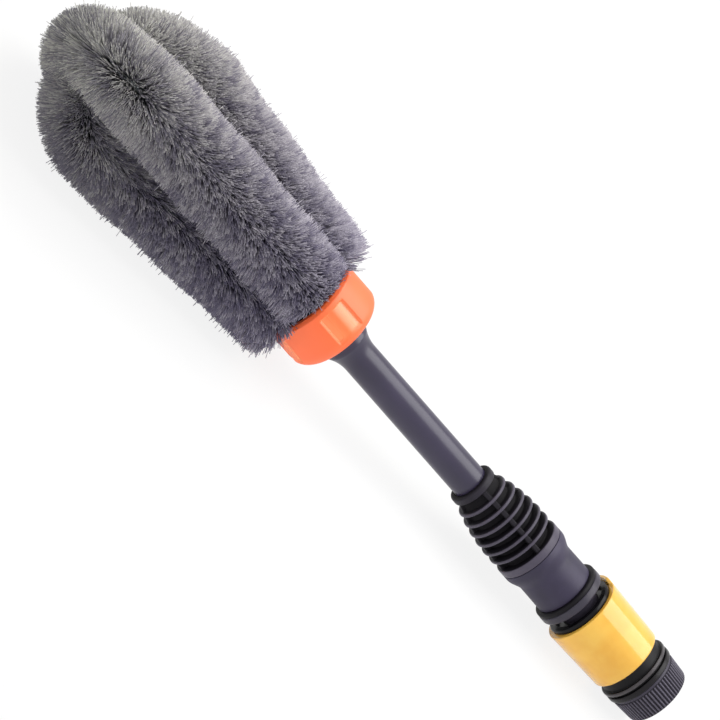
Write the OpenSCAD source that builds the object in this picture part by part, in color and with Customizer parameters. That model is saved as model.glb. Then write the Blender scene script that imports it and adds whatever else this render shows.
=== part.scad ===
// Flow-through wheel brush: two crossed bristle loops on a hollow handle, with a quick hose connector.
// Each piece is drawn along its own axis, at a station measured in millimetres from the hose end,
// and then laid down so that the hose end faces +X and the brush head points along -X.

/* [Hose nut] */
// Length of the hose nut
nut_len = 12.4; // [11.5:0.1:16]
// Wall of the nut outside its thread, grip ribs included
nut_wall = 2.45; // [1.5:0.05:4]
// Number of grip ribs round the nut
nut_ribs = 60; // [24:1:72]
// Depth of the grooves between the grip ribs
nut_rib_depth = 0.6; // [0.2:0.1:0.8]
// Width of the plain rim at the front of the nut
nut_rim_w = 1.4; // [0.6:0.1:3]
// Rounding of the nut's rear edge
nut_edge = 1.6; // [0.5:0.1:2.5]
// Length of the straight wall of the hole that the hose goes in through
nut_mouth_len = 4; // [2:0.1:5]

/* [Hose collet] */
// Space for the hose's wall, between the nipple and the collet
hose_space = 3.3; // [2.5:0.1:4]
// Radial wall of the collet that grips the hose
collet_wall = 1.45; // [1:0.05:2]
// Number of slots that part the collet's fingers
collet_slots = 6; // [3:1:10]
// Width of one slot
collet_slot_w = 1.2; // [0.6:0.1:2]
// Solid ring left at the front of the collet
collet_ring_w = 4; // [2:0.1:6]

/* [Connector tail] */
// Radius of the nipple that the hose is pushed on to
nipple_r = 6.4; // [5.8:0.1:6.9]
// Radius of the water way through the nipple
nipple_bore_r = 4.6; // [3.5:0.1:5]
// Chamfer at the nipple's tip
nipple_chamfer = 0.8; // [0.3:0.1:1]
// Depth of the pocket round the nipple, behind the rear ring's back face
pocket_depth = 6.2; // [4:0.1:8]
// Wall of the tube that carries the nut's thread
tail_thread_wall = 1.5; // [1:0.1:2]
// Gap between the nut and the rear ring
nut_gap = 0.4; // [0.3:0.1:1]
// Height of the rear ring over the barrel that the sleeve slides on
rear_ring_step = 1.3; // [0.5:0.1:2]
// Width of the rear ring
rear_ring_w = 2.6; // [1.5:0.1:4]
// Width of the groove between the two rings
ring_groove_w = 1.2; // [0.6:0.1:2]
// Depth of that groove
ring_groove_depth = 1.6; // [0.5:0.1:2.2]
// Height of the ring that stops the sleeve over that barrel
stop_ring_step = 1.4; // [0.6:0.1:2]
// Width of the ring that stops the sleeve
stop_ring_w = 1.8; // [1:0.1:3]
// Rounding of the edges of both rings
ring_edge = 0.7; // [0.2:0.1:0.9]

/* [Release sleeve] */
// Length of the release sleeve
sleeve_len = 30.8; // [29:0.1:34]
// Wall of the sleeve at its rear edge
sleeve_wall = 1.3; // [1:0.1:2.5]
// Growth of the sleeve's radius from its rear edge to its front edge
sleeve_flare = 1; // [0:0.1:2]
// Rounding of the sleeve's edges
sleeve_edge = 0.8; // [0.3:0.1:1]
// Distance that the sleeve slides back to let go
sleeve_travel = 4.5; // [4:0.1:5]
// Space left behind the sleeve at the end of its travel
stop_gap = 0.5; // [0.3:0.1:1.5]
// Length of the sleeve's inner land
land_len = 3.6; // [2:0.1:5]
// Lead of the sleeve's ramp behind the claws
ramp_lead = 1; // [0.5:0.1:2]
// Reach of the thumb tab in front of the sleeve
tab_len = 3; // [1:0.1:3.5]
// Angle that the thumb tab takes up round the sleeve
tab_angle = 66; // [30:1:90]

/* [Sleeve spring] */
// Length of the spring at rest
spring_len = 15.4; // [13:0.1:17]
// Diameter of the spring wire
spring_wire = 1.1; // [0.8:0.1:1.4]
// Room on each side of the spring wire
spring_gap = 0.2; // [0.15:0.05:0.5]
// Turns of the spring
spring_turns = 5; // [3:1:6]

/* [Connector body] */
// Wall of the body round the ridge of the adaptor
body_wall = 4.4; // [3:0.1:5]
// Wall of the body round the tail's spigot
rear_bore_wall = 3.8; // [2.5:0.1:5]
// Height of the front lip over the body
lip_step = 1.7; // [1.5:0.1:2]
// Width of the front lip
lip_w = 2; // [1.4:0.1:3]
// Rounding of the lip's front edge
lip_edge = 0.8; // [0.3:0.1:1]
// Wall round the open mouth inside the lip, inside the body's radius
mouth_wall = 1.1; // [0.5:0.1:2.5]
// Wall left between the mouth's floor and the claw windows
mouth_floor_t = 0.6; // [0.4:0.1:1]
// Wall between the socket's floor and the tail's spigot
socket_web = 1.4; // [1:0.1:2]

/* [Claws] */
// Width of one claw
claw_w = 6.5; // [4:0.1:8]
// Thickness of one claw along the axis
claw_t = 2.8; // [2:0.1:3.2]
// Depth that the claws reach into the adaptor's groove
claw_bite = 1.5; // [1:0.1:2]
// Wall between the claw windows and the lip
window_wall = 0.6; // [0.4:0.1:1]

/* [Handle adaptor] */
// Gap between the connector's lip and the adaptor's ring
adaptor_gap = 3.9; // [2:0.1:6]
// Radius of the adaptor's grip ring
adaptor_ring_r = 15.6; // [15:0.1:17]
// Width of the adaptor's grip ring
adaptor_ring_w = 3.8; // [3:0.1:8]
// Rounding of the grip ring's edges
adaptor_ring_edge = 1.2; // [0.5:0.1:2.4]
// Height over the nose of the ridge that the claws hold
ridge_step = 1.2; // [0.8:0.1:1.6]
// Width of that ridge
ridge_w = 4; // [3:0.1:5]
// Radius of the adaptor's nose
nose_r = 7.8; // [7:0.1:9]
// Length of the adaptor's nose
nose_len = 8.4; // [7:0.1:9]
// Lead-in chamfer of the nose and the ridge
nose_chamfer = 1; // [0.5:0.1:1.3]
// Wall of the nose under the O-ring
nose_wall = 1; // [0.8:0.1:2]
// Radius over the thread that goes into the handle
adaptor_thread_r = 9; // [8:0.1:10]
// Length of that thread
adaptor_thread_len = 9.5; // [7:0.1:11.5]
// Thickness of the O-ring's section
o_ring_d = 2.2; // [1.8:0.1:2.4]
// Thickness of the sealing washer above the grip ring
washer_t = 2.1; // [0.8:0.1:4.5]
// Radius of the sealing washer
washer_r = 15.5; // [13.8:0.1:15.6]

/* [Handle barrel] */
// Length of the smooth barrel
barrel_len = 23.1; // [20:0.1:28]
// Height of the barrel's shoulder over its neck
barrel_shoulder = 3.2; // [2:0.1:5]
// Width of the ring that the grip rests on
barrel_ring_w = 2.1; // [1:0.1:6]
// Length of the hollow slope from the barrel up to that ring
barrel_slope_len = 7.4; // [2:0.1:9]
// Wall of the barrel's neck round the stem
barrel_neck_wall = 2.15; // [1.5:0.05:3]
// Length of the barrel's neck inside the grip
barrel_neck_len = 12; // [8:0.1:16]
// Wall between the stem's socket and the adaptor's thread
barrel_web = 2.6; // [1.5:0.1:3]

/* [Ribbed grip] */
// Length of the ribbed grip
grip_len = 43.2; // [41:0.1:56]
// Swell of the grip from its top ring to its foot
grip_swell = 5; // [3:0.1:7]
// Wall of the grip under its grooves, at the top ring
grip_wall = 0.5; // [0.3:0.05:1]
// Length of the straight foot of the grip, before it narrows
grip_foot = 11.6; // [8:0.1:16]
// Width of the plain ring at the foot of the grip
grip_ring_w = 4; // [3:0.1:8]
// Width of the plain ring at the top of the grip
grip_top_w = 3.6; // [3:0.1:8]
// Number of ribs between the two rings
grip_ribs = 6; // [3:1:8]
// Thickness of one rib
grip_rib_t = 1.6; // [1:0.1:2.4]
// Depth of the grooves between the ribs, at the top ring
grip_groove = 2; // [1:0.1:2]
// Further depth of the grooves at the foot of the grip
grip_deepen = 2; // [0:0.1:2.4]
// Width of the webs that run along the grip
grip_web_w = 2; // [1:0.1:4]
// Depth of the webs below the tops of the ribs
grip_web_drop = 0.9; // [0.3:0.1:1.5]
// Rounding of the edges of the grip's rings
grip_edge = 1; // [0.3:0.1:1.5]

/* [Stem] */
// Length of stem between the grip and the collar
stem_free_len = 90.5; // [60:0.5:140]
// Radius of the stem
stem_r = 8; // [7.4:0.1:8.6]
// Wall of the stem tube
stem_wall = 2.4; // [1.5:0.1:3]
// Length of the flare below the collar
flare_len = 9.5; // [6:0.1:20]
// Growth of the stem's radius along the flare
flare_rise = 2.5; // [1:0.1:4]
// Length of the plain neck between the flare and the collar
neck_len = 4.6; // [2:0.1:8]
// Height of the flange at the stem's head over the neck
stem_flange_step = 5.9; // [4:0.1:7]
// Thickness of the flange at the stem's head
stem_flange_t = 4.2; // [2.5:0.1:6]

/* [Collar nut] */
// Length of the collar nut
collar_len = 24; // [22:0.1:28]
// Wall of the collar nut round its thread
collar_wall = 3.7; // [3:0.1:6]
// Rounding of the collar's lower edge
collar_round = 6.5; // [3:0.1:7]
// Thickness of the collar's floor
collar_floor = 3.6; // [2:0.1:5]
// Chamfer at the top of the collar
collar_chamfer = 1.4; // [0.5:0.1:2.5]
// Number of sunk finger pads round the collar
collar_pads = 4; // [3:1:6]
// Angle that one pad takes up round the collar
pad_angle = 37; // [20:1:50]
// Length of one pad along the collar
pad_len = 13.5; // [8:0.1:14]
// Depth of one pad
pad_depth = 1.5; // [0.5:0.1:2]
// Plain rim left above the pads
pad_rim = 4.3; // [3:0.1:6]
// Thickness of the slip washer on the collar's floor
slip_washer_t = 0.8; // [0.5:0.1:1.5]

/* [Wire hub] */
// Height of the hub's thread over the stem's flange
hub_step = 1.95; // [1:0.05:3]
// Thickness of the gasket under the hub
gasket_t = 1; // [0.6:0.1:2]
// Depth of the hub's top below the collar's top edge
hub_drop = 1.2; // [0.5:0.1:2.5]
// Depth of the water chamber under the hub
hub_chamber = 2.2; // [1:0.1:3]
// Radius of the water chamber under the hub
hub_chamber_r = 9; // [7:0.1:9.5]
// Radius of the water hole at the centre of the hub
hub_hole_r = 2.5; // [1.5:0.1:4]
// Depth of hub left below each wire socket
hub_socket_floor = 3.2; // [2.5:0.1:5]

/* [Bristle loops] */
// Radius at which the wires leave the collar
arm_foot_r = 13.5; // [12:0.1:15]
// Radius of the arch that each wire makes over the tip
arch_r = 24; // [20:0.5:30]
// Height of the outer arch's centre above the collar
arch_rise = 123; // [90:1:160]
// Gap between the two loops where they cross
arch_gap = 1; // [0.8:0.1:4]
// Radius of the twisted wire
wire_r = 1.9; // [1.5:0.1:2]
// Length of the bristles from the middle of the wire
bristle_len = 22; // [16:0.5:23]
// Height of the lowest bristles above the collar
bristle_start = 1.5; // [1:0.1:8]
// Spacing of the bristle rows along the wire
bristle_pitch = 8.8; // [8.2:0.1:12]
// Wall of the bound root of the bristles round the wire
root_wall = 0.75; // [0.65:0.05:1.5]

/* [Clearances] */
// Radial gap of pieces that are seated in each other
seat_gap = 0.05; // [0.02:0.01:0.1]
// Radial gap of pieces that slide or turn on each other
slide_gap = 0.15; // [0.1:0.01:0.2]
// Gap between faces that move past each other
face_gap = 0.3; // [0.2:0.05:0.4]

/* [Hidden] */
$fn = 96;

BLACK = "#1d1c20";
CHARCOAL = "#4a4653";
RUBBER = "#242328";
ORANGE = "#ff7848";
YELLOW = "#f3c04a";
STEEL = "#b9bcc0";
BRISTLE = "#67666b";

// Stations of the connector, from the hose end towards the handle
rear_ring_back = nut_len + nut_gap;
rear_ring_front = rear_ring_back + rear_ring_w;
stop_ring_back = rear_ring_front + ring_groove_w;
stop_ring_front = stop_ring_back + stop_ring_w;
sleeve_back = stop_ring_front + sleeve_travel + stop_gap;
sleeve_front = sleeve_back + sleeve_len;
lip_back = sleeve_front + face_gap;
lip_front = lip_back + lip_w;
claw_front = lip_back - window_wall;
claw_back = claw_front - claw_t;
ramp_start = claw_back - ramp_lead;
land_back = ramp_start - land_len;
tail_front = land_back - spring_len;

// Radii of the coupling, from the adaptor's nose outwards
socket_r = nose_r + face_gap;
ridge_r = nose_r + ridge_step;
ridge_bore_r = ridge_r + face_gap;
claw_groove_r = ridge_r - claw_bite;
claw_in_r = claw_groove_r + face_gap;
claw_lift = claw_bite - face_gap + slide_gap;
body_r = ridge_bore_r + body_wall;
spigot_r = body_r - rear_bore_wall;
mouth_r = body_r - mouth_wall;
lip_r = body_r + lip_step;
land_r = body_r + slide_gap;
sleeve_bore_r = body_r + spring_wire + 2 * spring_gap;
sleeve_rear_r = sleeve_bore_r + sleeve_wall;
sleeve_front_r = sleeve_rear_r + sleeve_flare;
ramp_slope = claw_lift / sleeve_travel;
ramp_front_r = land_r + ramp_slope * (sleeve_front - ramp_start);
tail_barrel_r = sleeve_bore_r - slide_gap;
rear_ring_r = tail_barrel_r + rear_ring_step;
stop_ring_r = tail_barrel_r + stop_ring_step;

// Radii of the hose end, from the nipple outwards
nut_mouth_r = nipple_r + hose_space;
collet_r = nut_mouth_r + collet_wall;
pocket_r = collet_r + slide_gap;
tail_thread_r = pocket_r + tail_thread_wall;
nut_thread_r = tail_thread_r + slide_gap;
nut_r = nut_thread_r + nut_wall;

// Stations of the hose end
nut_cone_top = nut_mouth_len + (nut_thread_r - nut_mouth_r);
thread_back = nut_cone_top + face_gap;
pocket_floor = rear_ring_back + pocket_depth;
nipple_tip = nut_mouth_len + face_gap;
collet_back = nut_mouth_len + collet_wall / 2 + 2 * face_gap;
collet_front = pocket_floor - face_gap;

// Stations of the adaptor and the handle
ridge_front = claw_back - face_gap;
ridge_back = ridge_front - ridge_w;
nose_end = ridge_back - nose_len;
socket_front = ridge_back - face_gap;
socket_floor = nose_end - 2 * face_gap;
spigot_end = socket_floor - socket_web;
groove_front = claw_front + face_gap;
adaptor_ring_back = lip_front + adaptor_gap;
adaptor_ring_front = adaptor_ring_back + adaptor_ring_w;
barrel_back = adaptor_ring_front + washer_t;
adaptor_top = adaptor_ring_front + washer_t + adaptor_thread_len;
grip_back = barrel_back + barrel_len;
stem_back = adaptor_top + face_gap + barrel_web;
neck_front = grip_back + barrel_neck_len;
grip_front = grip_back + grip_len;
stem_bore_r = stem_r - stem_wall;
barrel_neck_r = stem_r + seat_gap + barrel_neck_wall;
barrel_r = barrel_neck_r + barrel_shoulder;
barrel_slope_low = grip_back - barrel_ring_w - barrel_slope_len;

// Stations of the collar and the hub
collar_back = grip_front + stem_free_len;
collar_front = collar_back + collar_len;
collar_floor_top = collar_back + collar_floor;
flange_back = collar_floor_top + slip_washer_t + face_gap;
flange_front = flange_back + stem_flange_t;
hub_back = flange_front + gasket_t;
hub_front = collar_front - hub_drop;
stem_neck_r = stem_r + flare_rise;
stem_flange_r = stem_neck_r + stem_flange_step;
hub_r = stem_flange_r + hub_step;
collar_bore_r = hub_r + slide_gap;
collar_r = collar_bore_r + collar_wall;
collar_hole_r = stem_neck_r + face_gap;

// The bristle loops: each wire climbs from its socket, leans out by arm_lean and arches over the tip
loop_turn = [135, 45];
root_sides = 6;
row_half = 0.7;
arch_sag = pow(bristle_pitch - row_half, 2) / (8 * arch_r);
root_bore_r = (wire_r + seat_gap + arch_sag) / cos(180 / root_sides);
root_r = root_bore_r + root_wall;
arch_step = 2 * root_r + arch_gap;
arch_centre = [collar_front + arch_rise, collar_front + arch_rise - arch_step];
bristle_foot = collar_front + bristle_start;
strand_tip = 0.3;
strand_least = 5;
strand_gap = 0.8;
arch_reach = 0.7 * arch_r;
function arm_span(loop) = arch_centre[loop] - collar_front;
function arm_lean(loop) =
    asin(arch_r / norm([arm_foot_r, arm_span(loop)])) - atan(arm_foot_r / arm_span(loop));
function arm_u(loop, station) = arm_foot_r + (station - collar_front) * tan(arm_lean(loop));
function arm_top(loop) = arch_centre[loop] - arch_r * sin(arm_lean(loop));
function arm_len(loop, station) = (arm_top(loop) - station) / cos(arm_lean(loop));
function arch_len(loop) = arch_r * (180 + 2 * arm_lean(loop)) * PI / 180;

// Points on an arc about (x, y), from one angle to another
function arc(x, y, r, from, to, steps = 6) =
    [for (i = [0:steps]) let (a = from + (to - from) * i / steps) [x + r * cos(a), y + r * sin(a)]];

// Two round corners of an outline at radius r, from station low to station high, within its width
function round_band(r, low, high, edge) =
    let (e = min(edge, 0.48 * (high - low)))
    concat(arc(r - e, low + e, e, -90, 0), arc(r - e, high - e, e, 0, 90));

// Lays a piece that was drawn along +Z down along -X
module lay_down() { rotate([0, -90, 0]) children(); }

module turned(outline) { rotate_extrude() polygon(outline); }

// A plain ring between two radii and two stations
module ring(inner, outer, low, high) {
    turned([[inner, low], [outer, low], [outer, high], [inner, high]]);
}

// Outline of the hose nut's grip: one rib and one groove for each step round the axis
module nut_outline() {
    step = 360 / nut_ribs;
    floor_r = nut_r - nut_rib_depth;
    polygon([for (i = [0:nut_ribs - 1], p = [[floor_r, 0], [floor_r, 0.4], [nut_r, 0.55], [nut_r, 0.85]])
        p[0] * [cos((i + p[1]) * step), sin((i + p[1]) * step)]]);
}

module hose_nut() color(BLACK) {
    difference() {
        union() {
            intersection() {
                linear_extrude(nut_len - nut_rim_w) nut_outline();
                turned(concat([[0, 0]], arc(nut_r - nut_edge, nut_edge, nut_edge, -90, 0),
                              [[nut_r, nut_len], [0, nut_len]]));
            }
            translate([0, 0, nut_len - nut_rim_w]) cylinder(r = nut_r - nut_rib_depth, h = nut_rim_w);
        }
        translate([0, 0, -1]) cylinder(r = nut_mouth_r, h = nut_len + 2);
        translate([0, 0, nut_mouth_len])
            cylinder(r1 = nut_mouth_r, r2 = nut_thread_r, h = nut_cone_top - nut_mouth_len);
        translate([0, 0, nut_cone_top]) cylinder(r = nut_thread_r, h = nut_len);
    }
}

// Slotted ring that the nut's cone closes on the hose
module hose_collet() color(BLACK) {
    inner = nut_mouth_r;
    chamfer = collet_wall / 2;
    difference() {
        turned([[inner, collet_back], [collet_r - chamfer, collet_back], [collet_r, collet_back + chamfer],
                [collet_r, collet_front], [inner, collet_front]]);
        for (i = [0:collet_slots - 1]) rotate([0, 0, 360 * i / collet_slots])
            translate([0, -collet_slot_w / 2, collet_back - 1])
                cube([collet_r + 1, collet_slot_w, collet_front - collet_back - collet_ring_w + 1]);
    }
}

// Rear half of the connector: nipple, nut thread, two rings and the barrel that the sleeve slides on
module connector_tail() color(BLACK) {
    groove_r = stop_ring_r - ring_groove_depth;
    turned(concat(
        [[nipple_bore_r, nipple_tip], [nipple_r - nipple_chamfer, nipple_tip],
         [nipple_r, nipple_tip + nipple_chamfer], [nipple_r, pocket_floor], [pocket_r, pocket_floor],
         [pocket_r, thread_back], [tail_thread_r, thread_back], [tail_thread_r, rear_ring_back]],
        round_band(rear_ring_r, rear_ring_back, rear_ring_front, ring_edge),
        [[groove_r, rear_ring_front], [groove_r, stop_ring_back]],
        round_band(stop_ring_r, stop_ring_back, stop_ring_front, ring_edge),
        [[tail_barrel_r, stop_ring_front], [tail_barrel_r, tail_front], [spigot_r, tail_front],
         [spigot_r, spigot_end], [nipple_bore_r, spigot_end]]));
}

// The tab sits on the sleeve's far side, at tab_turn from +Z towards +Y. Its inside clears the connector's
// lip, and it opens outwards so that a lifted claw passes under its tip.
module release_sleeve() color(YELLOW) {
    tab_turn = 66;
    tab_in_r = lip_r + slide_gap;
    tab_out_r = sleeve_front_r - sleeve_edge / 4;
    tab_root = sleeve_front - 2 * sleeve_edge;
    tab_tip = sleeve_front + tab_len;
    tab_tip_r = max(tab_in_r, ramp_front_r + ramp_slope * tab_len + 1.5 * face_gap);
    rotate([0, 0, tab_turn - tab_angle / 2]) rotate_extrude(angle = tab_angle)
        polygon([[tab_in_r, tab_root], [tab_out_r, tab_root], [tab_out_r, tab_tip], [tab_tip_r, tab_tip]]);
    turned(concat(
        [[sleeve_bore_r, sleeve_back]],
        arc(sleeve_rear_r - sleeve_edge, sleeve_back + sleeve_edge, sleeve_edge, -90, 0),
        arc(sleeve_front_r - sleeve_edge, sleeve_front - sleeve_edge, sleeve_edge, 0, 90),
        [[ramp_front_r, sleeve_front], [land_r, ramp_start], [land_r, land_back],
         [sleeve_bore_r, land_back]]));
}

// Points of the spring's line, midway between body and sleeve, and its least gap to itself
spring_rings = 24;
spring_r = (body_r + sleeve_bore_r) / (1 + cos(180 / spring_rings));
spring_low = tail_front + spring_wire / 2 + face_gap / 2;
spring_rise = spring_len - spring_wire - face_gap;
spring_steps = spring_rings * spring_turns;
spring_line = [for (i = [0:spring_steps]) let (a = 360 * i / spring_rings)
    [spring_r * cos(a), spring_r * sin(a), spring_low + spring_rise * i / spring_steps]];
spring_least = min([for (i = [0:spring_steps - spring_rings / 2], k = [i + spring_rings / 2:spring_steps])
    norm(spring_line[i] - spring_line[k]) - spring_wire]);
echo(spring_least_gap_mm = spring_least);

// Coil spring that pushes the sleeve forward, as one tube of six sides
module sleeve_spring() color(STEEL) {
    sides = 6;
    rings = len(spring_line);
    points = [for (i = [0:rings - 1], j = [0:sides - 1])
        let (a = 360 * i / spring_rings, t = 360 * j / sides)
        spring_line[i] + spring_wire / 2 * [cos(t) * cos(a), cos(t) * sin(a), sin(t)]];
    walls = [for (i = [0:rings - 2], j = [0:sides - 1])
        let (k = (j + 1) % sides, a = i * sides, b = a + sides)
        each [[a + j, b + j, b + k], [a + j, b + k, a + k]]];
    last = (rings - 1) * sides;
    caps = [for (j = [1:sides - 2]) each [[0, j, j + 1], [last, last + j + 1, last + j]]];
    polyhedron(points, concat(walls, caps));
}

// Front half of the connector: the socket, the claw windows and the lip
module connector_body() color(BLACK) {
    rear_bore_r = spigot_r + seat_gap;
    mouth_floor = claw_front + seat_gap + mouth_floor_t;
    difference() {
        turned(concat(
            [[rear_bore_r, tail_front], [body_r, tail_front], [body_r, lip_back], [lip_r, lip_back]],
            arc(lip_r - lip_edge, lip_front - lip_edge, lip_edge, 0, 90),
            [[mouth_r, lip_front], [mouth_r, mouth_floor], [ridge_bore_r, mouth_floor],
             [ridge_bore_r, socket_front], [socket_r, socket_front], [socket_r, socket_floor],
             [nipple_bore_r, socket_floor], [nipple_bore_r, spigot_end], [rear_bore_r, spigot_end]]));
        for (i = [0:3]) rotate([0, 0, 90 * i])
            translate([0, -claw_w / 2 - slide_gap, claw_back - slide_gap])
                cube([lip_r + 1, claw_w + 2 * slide_gap, claw_t + slide_gap + seat_gap]);
    }
}

// One locking claw: its inner end sits in the adaptor's groove, its outer end follows the sleeve's ramp
module claw(number) color(BLACK) {
    back_r = land_r + ramp_slope * ramp_lead - slide_gap;
    front_r = back_r + ramp_slope * claw_t;
    rotate([0, 0, 90 * (number - 1)]) intersection() {
        translate([0, -claw_w / 2, claw_back]) cube([sleeve_front_r, claw_w, claw_t]);
        turned([[claw_in_r, claw_back], [back_r, claw_back], [front_r, claw_front], [claw_in_r, claw_front]]);
    }
}

// Stations of the O-ring's groove, in the middle of the nose
o_ring_mid = (nose_end + nose_chamfer + ridge_back) / 2;
o_ring_half = o_ring_d / 2 + face_gap / 2;
o_ring_mid_r = socket_r - seat_gap - o_ring_d / 2;
o_ring_floor_r = o_ring_mid_r - o_ring_d / 2 - seat_gap;
adaptor_bore_r = o_ring_floor_r - nose_wall;

// Male half of the coupling: nose, claw groove, grip ring and the thread that goes into the handle
module hose_adaptor() color(BLACK) {
    turned(concat(
        [[adaptor_bore_r, nose_end], [nose_r - nose_chamfer, nose_end], [nose_r, nose_end + nose_chamfer],
         [nose_r, o_ring_mid - o_ring_half], [o_ring_floor_r, o_ring_mid - o_ring_half],
         [o_ring_floor_r, o_ring_mid + o_ring_half], [nose_r, o_ring_mid + o_ring_half],
         [nose_r, ridge_back], [ridge_r, ridge_back + nose_chamfer], [ridge_r, ridge_front],
         [claw_groove_r, ridge_front], [claw_groove_r, groove_front], [ridge_r, groove_front],
         [ridge_r, adaptor_ring_back]],
        round_band(adaptor_ring_r, adaptor_ring_back, adaptor_ring_front, adaptor_ring_edge),
        [[adaptor_thread_r, adaptor_ring_front], [adaptor_thread_r, adaptor_top],
         [adaptor_bore_r, adaptor_top]]));
}

module adaptor_o_ring() color(RUBBER)
    rotate_extrude() translate([o_ring_mid_r, o_ring_mid]) circle(d = o_ring_d);

module adaptor_washer() color(RUBBER)
    ring(adaptor_thread_r + seat_gap, washer_r, adaptor_ring_front, barrel_back);

// Smooth end of the handle: threaded for the adaptor, socketed for the stem
module handle_barrel() color(CHARCOAL) {
    thread_hole_r = adaptor_thread_r + seat_gap;
    thread_top = adaptor_top + face_gap;
    socket_wall_r = stem_r + seat_gap;
    slope = [for (d = [0 : 0.125 : 1])
        [barrel_r + (grip_max_r - barrel_r) * d * d * (3 - 2 * d), barrel_slope_low + d * barrel_slope_len]];
    turned(concat(
        [[thread_hole_r, barrel_back], [barrel_r, barrel_back]], slope,
        [[grip_max_r, grip_back], [barrel_neck_r, grip_back], [barrel_neck_r, neck_front],
         [socket_wall_r, neck_front], [socket_wall_r, stem_back], [adaptor_bore_r, stem_back],
         [adaptor_bore_r, thread_top], [thread_hole_r, thread_top]]));
}

// Middle stations of the grip's ribs, evenly spaced between its two rings
rib_low = grip_back + grip_ring_w;
rib_high = grip_front - grip_top_w;
rib_step = (rib_high - rib_low) / (grip_ribs + 1);
web_steps = 14;

// Radius of the grip's outside at a station: a straight foot, then one long arc up to the top ring
grip_bore_r = stem_r + seat_gap;
grip_top_r = grip_bore_r + grip_wall + grip_groove;
grip_max_r = grip_top_r + grip_swell;
grip_bend = grip_back + grip_foot;
grip_arc_r = (pow(rib_high - grip_bend, 2) + pow(grip_swell, 2)) / (2 * grip_swell);
function grip_r(station) =
    let (rise = max(0, station - grip_bend))
    grip_max_r - (grip_arc_r - sqrt(grip_arc_r * grip_arc_r - rise * rise));
function rib_floor_r(r) = r - grip_groove - grip_deepen * (r - grip_top_r) / grip_swell;

// Ribbed sleeve that the hand holds, with four webs along it
module ribbed_grip() color(RUBBER) {
    neck_bore_r = barrel_neck_r + seat_gap;
    foot = arc(grip_max_r - grip_edge, grip_back + grip_edge, grip_edge, -90, 0);
    low_ring = [[grip_r(rib_low), rib_low], [rib_floor_r(grip_r(rib_low)), rib_low]];
    ribs = [for (i = [1:grip_ribs]) let (
            low = rib_low + i * rib_step - grip_rib_t / 2, high = low + grip_rib_t, r = grip_r(low))
        each concat([[rib_floor_r(r), low]], arc(r - grip_rib_t / 2, low + grip_rib_t / 2,
             grip_rib_t / 2, -90, 90, 6), [[rib_floor_r(r), high]])];
    top_ring = concat([[rib_floor_r(grip_top_r), rib_high], [grip_top_r, rib_high]],
                      arc(grip_top_r - grip_edge, grip_front - grip_edge, grip_edge, 0, 90));
    turned(concat([[neck_bore_r, grip_back]], foot, low_ring, ribs, top_ring,
                  [[grip_bore_r, grip_front], [grip_bore_r, neck_front], [neck_bore_r, neck_front]]));
    web_outline = [for (i = [0:web_steps]) let (station = rib_low + (rib_high - rib_low) * i / web_steps)
        [grip_r(station) - grip_web_drop, station]];
    web_floor_r = grip_bore_r + grip_wall / 2;
    for (i = [0:3]) rotate([0, 0, 45 + 90 * i]) rotate([90, 0, 0])
        translate([0, 0, -grip_web_w / 2]) linear_extrude(grip_web_w)
            difference() {
                polygon(concat([[web_floor_r, rib_low]], web_outline, [[web_floor_r, rib_high]]));
                translate([0, rib_low - 1]) square([neck_bore_r + grip_wall, neck_front + 2 - rib_low]);
            }
}

// Hollow stem: its head has a flange that the collar pulls against the hub
module stem_tube() color(CHARCOAL) {
    flare_arc_r = (flare_len * flare_len + flare_rise * flare_rise) / (2 * flare_rise);
    flare_low = collar_back - neck_len - flare_len;
    flare = arc(stem_r + flare_arc_r, flare_low, flare_arc_r, 180, 180 - asin(flare_len / flare_arc_r), 10);
    turned(concat(
        [[stem_bore_r, stem_back], [stem_r, stem_back]], flare,
        [[stem_neck_r, flange_back], [stem_flange_r, flange_back], [stem_flange_r, flange_front],
         [stem_bore_r, flange_front]]));
}

module collar_slip_washer() color(STEEL)
    ring(collar_hole_r, collar_bore_r - face_gap, collar_floor_top, collar_floor_top + slip_washer_t);

// Union nut with sunk finger pads, which clamps the hub to the stem
module collar_nut() color(ORANGE) {
    pad_low = collar_front - pad_rim - pad_len;
    difference() {
        turned(concat(
            [[collar_hole_r, collar_back]],
            arc(collar_r - collar_round, collar_back + collar_round, collar_round, -90, 0, 10),
            [[collar_r, collar_front - collar_chamfer], [collar_r - collar_chamfer, collar_front],
             [collar_bore_r, collar_front], [collar_bore_r, collar_floor_top],
             [collar_hole_r, collar_floor_top]]));
        for (i = [0:collar_pads - 1]) rotate([0, 0, 45 - pad_angle / 2 + 360 * i / collar_pads])
            rotate_extrude(angle = pad_angle) translate([collar_r - pad_depth, pad_low])
                square([pad_depth + 1, pad_len]);
    }
}

module head_gasket() color(RUBBER)
    ring(hub_chamber_r, stem_flange_r, flange_front, hub_back);

// Puts a child on the line of one arm of a loop, with +Z along the wire and the origin at a station
module on_arm(loop, side, station) {
    rotate([0, 0, loop_turn[loop] + 180 * side]) translate([arm_u(loop, station), 0, station])
        rotate([0, arm_lean(loop), 0]) children();
}

// Plug that holds the four wire ends and lets the water out between them
module wire_hub() color(BLACK) {
    difference() {
        turned([[hub_hole_r, hub_back + hub_chamber], [hub_chamber_r, hub_back + hub_chamber],
                [hub_chamber_r, hub_back], [hub_r, hub_back], [hub_r, hub_front], [hub_hole_r, hub_front]]);
        for (loop = [0, 1], side = [0, 1]) on_arm(loop, side, hub_back + hub_socket_floor)
            cylinder(r = wire_r + seat_gap, h = collar_len);
    }
}

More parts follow.
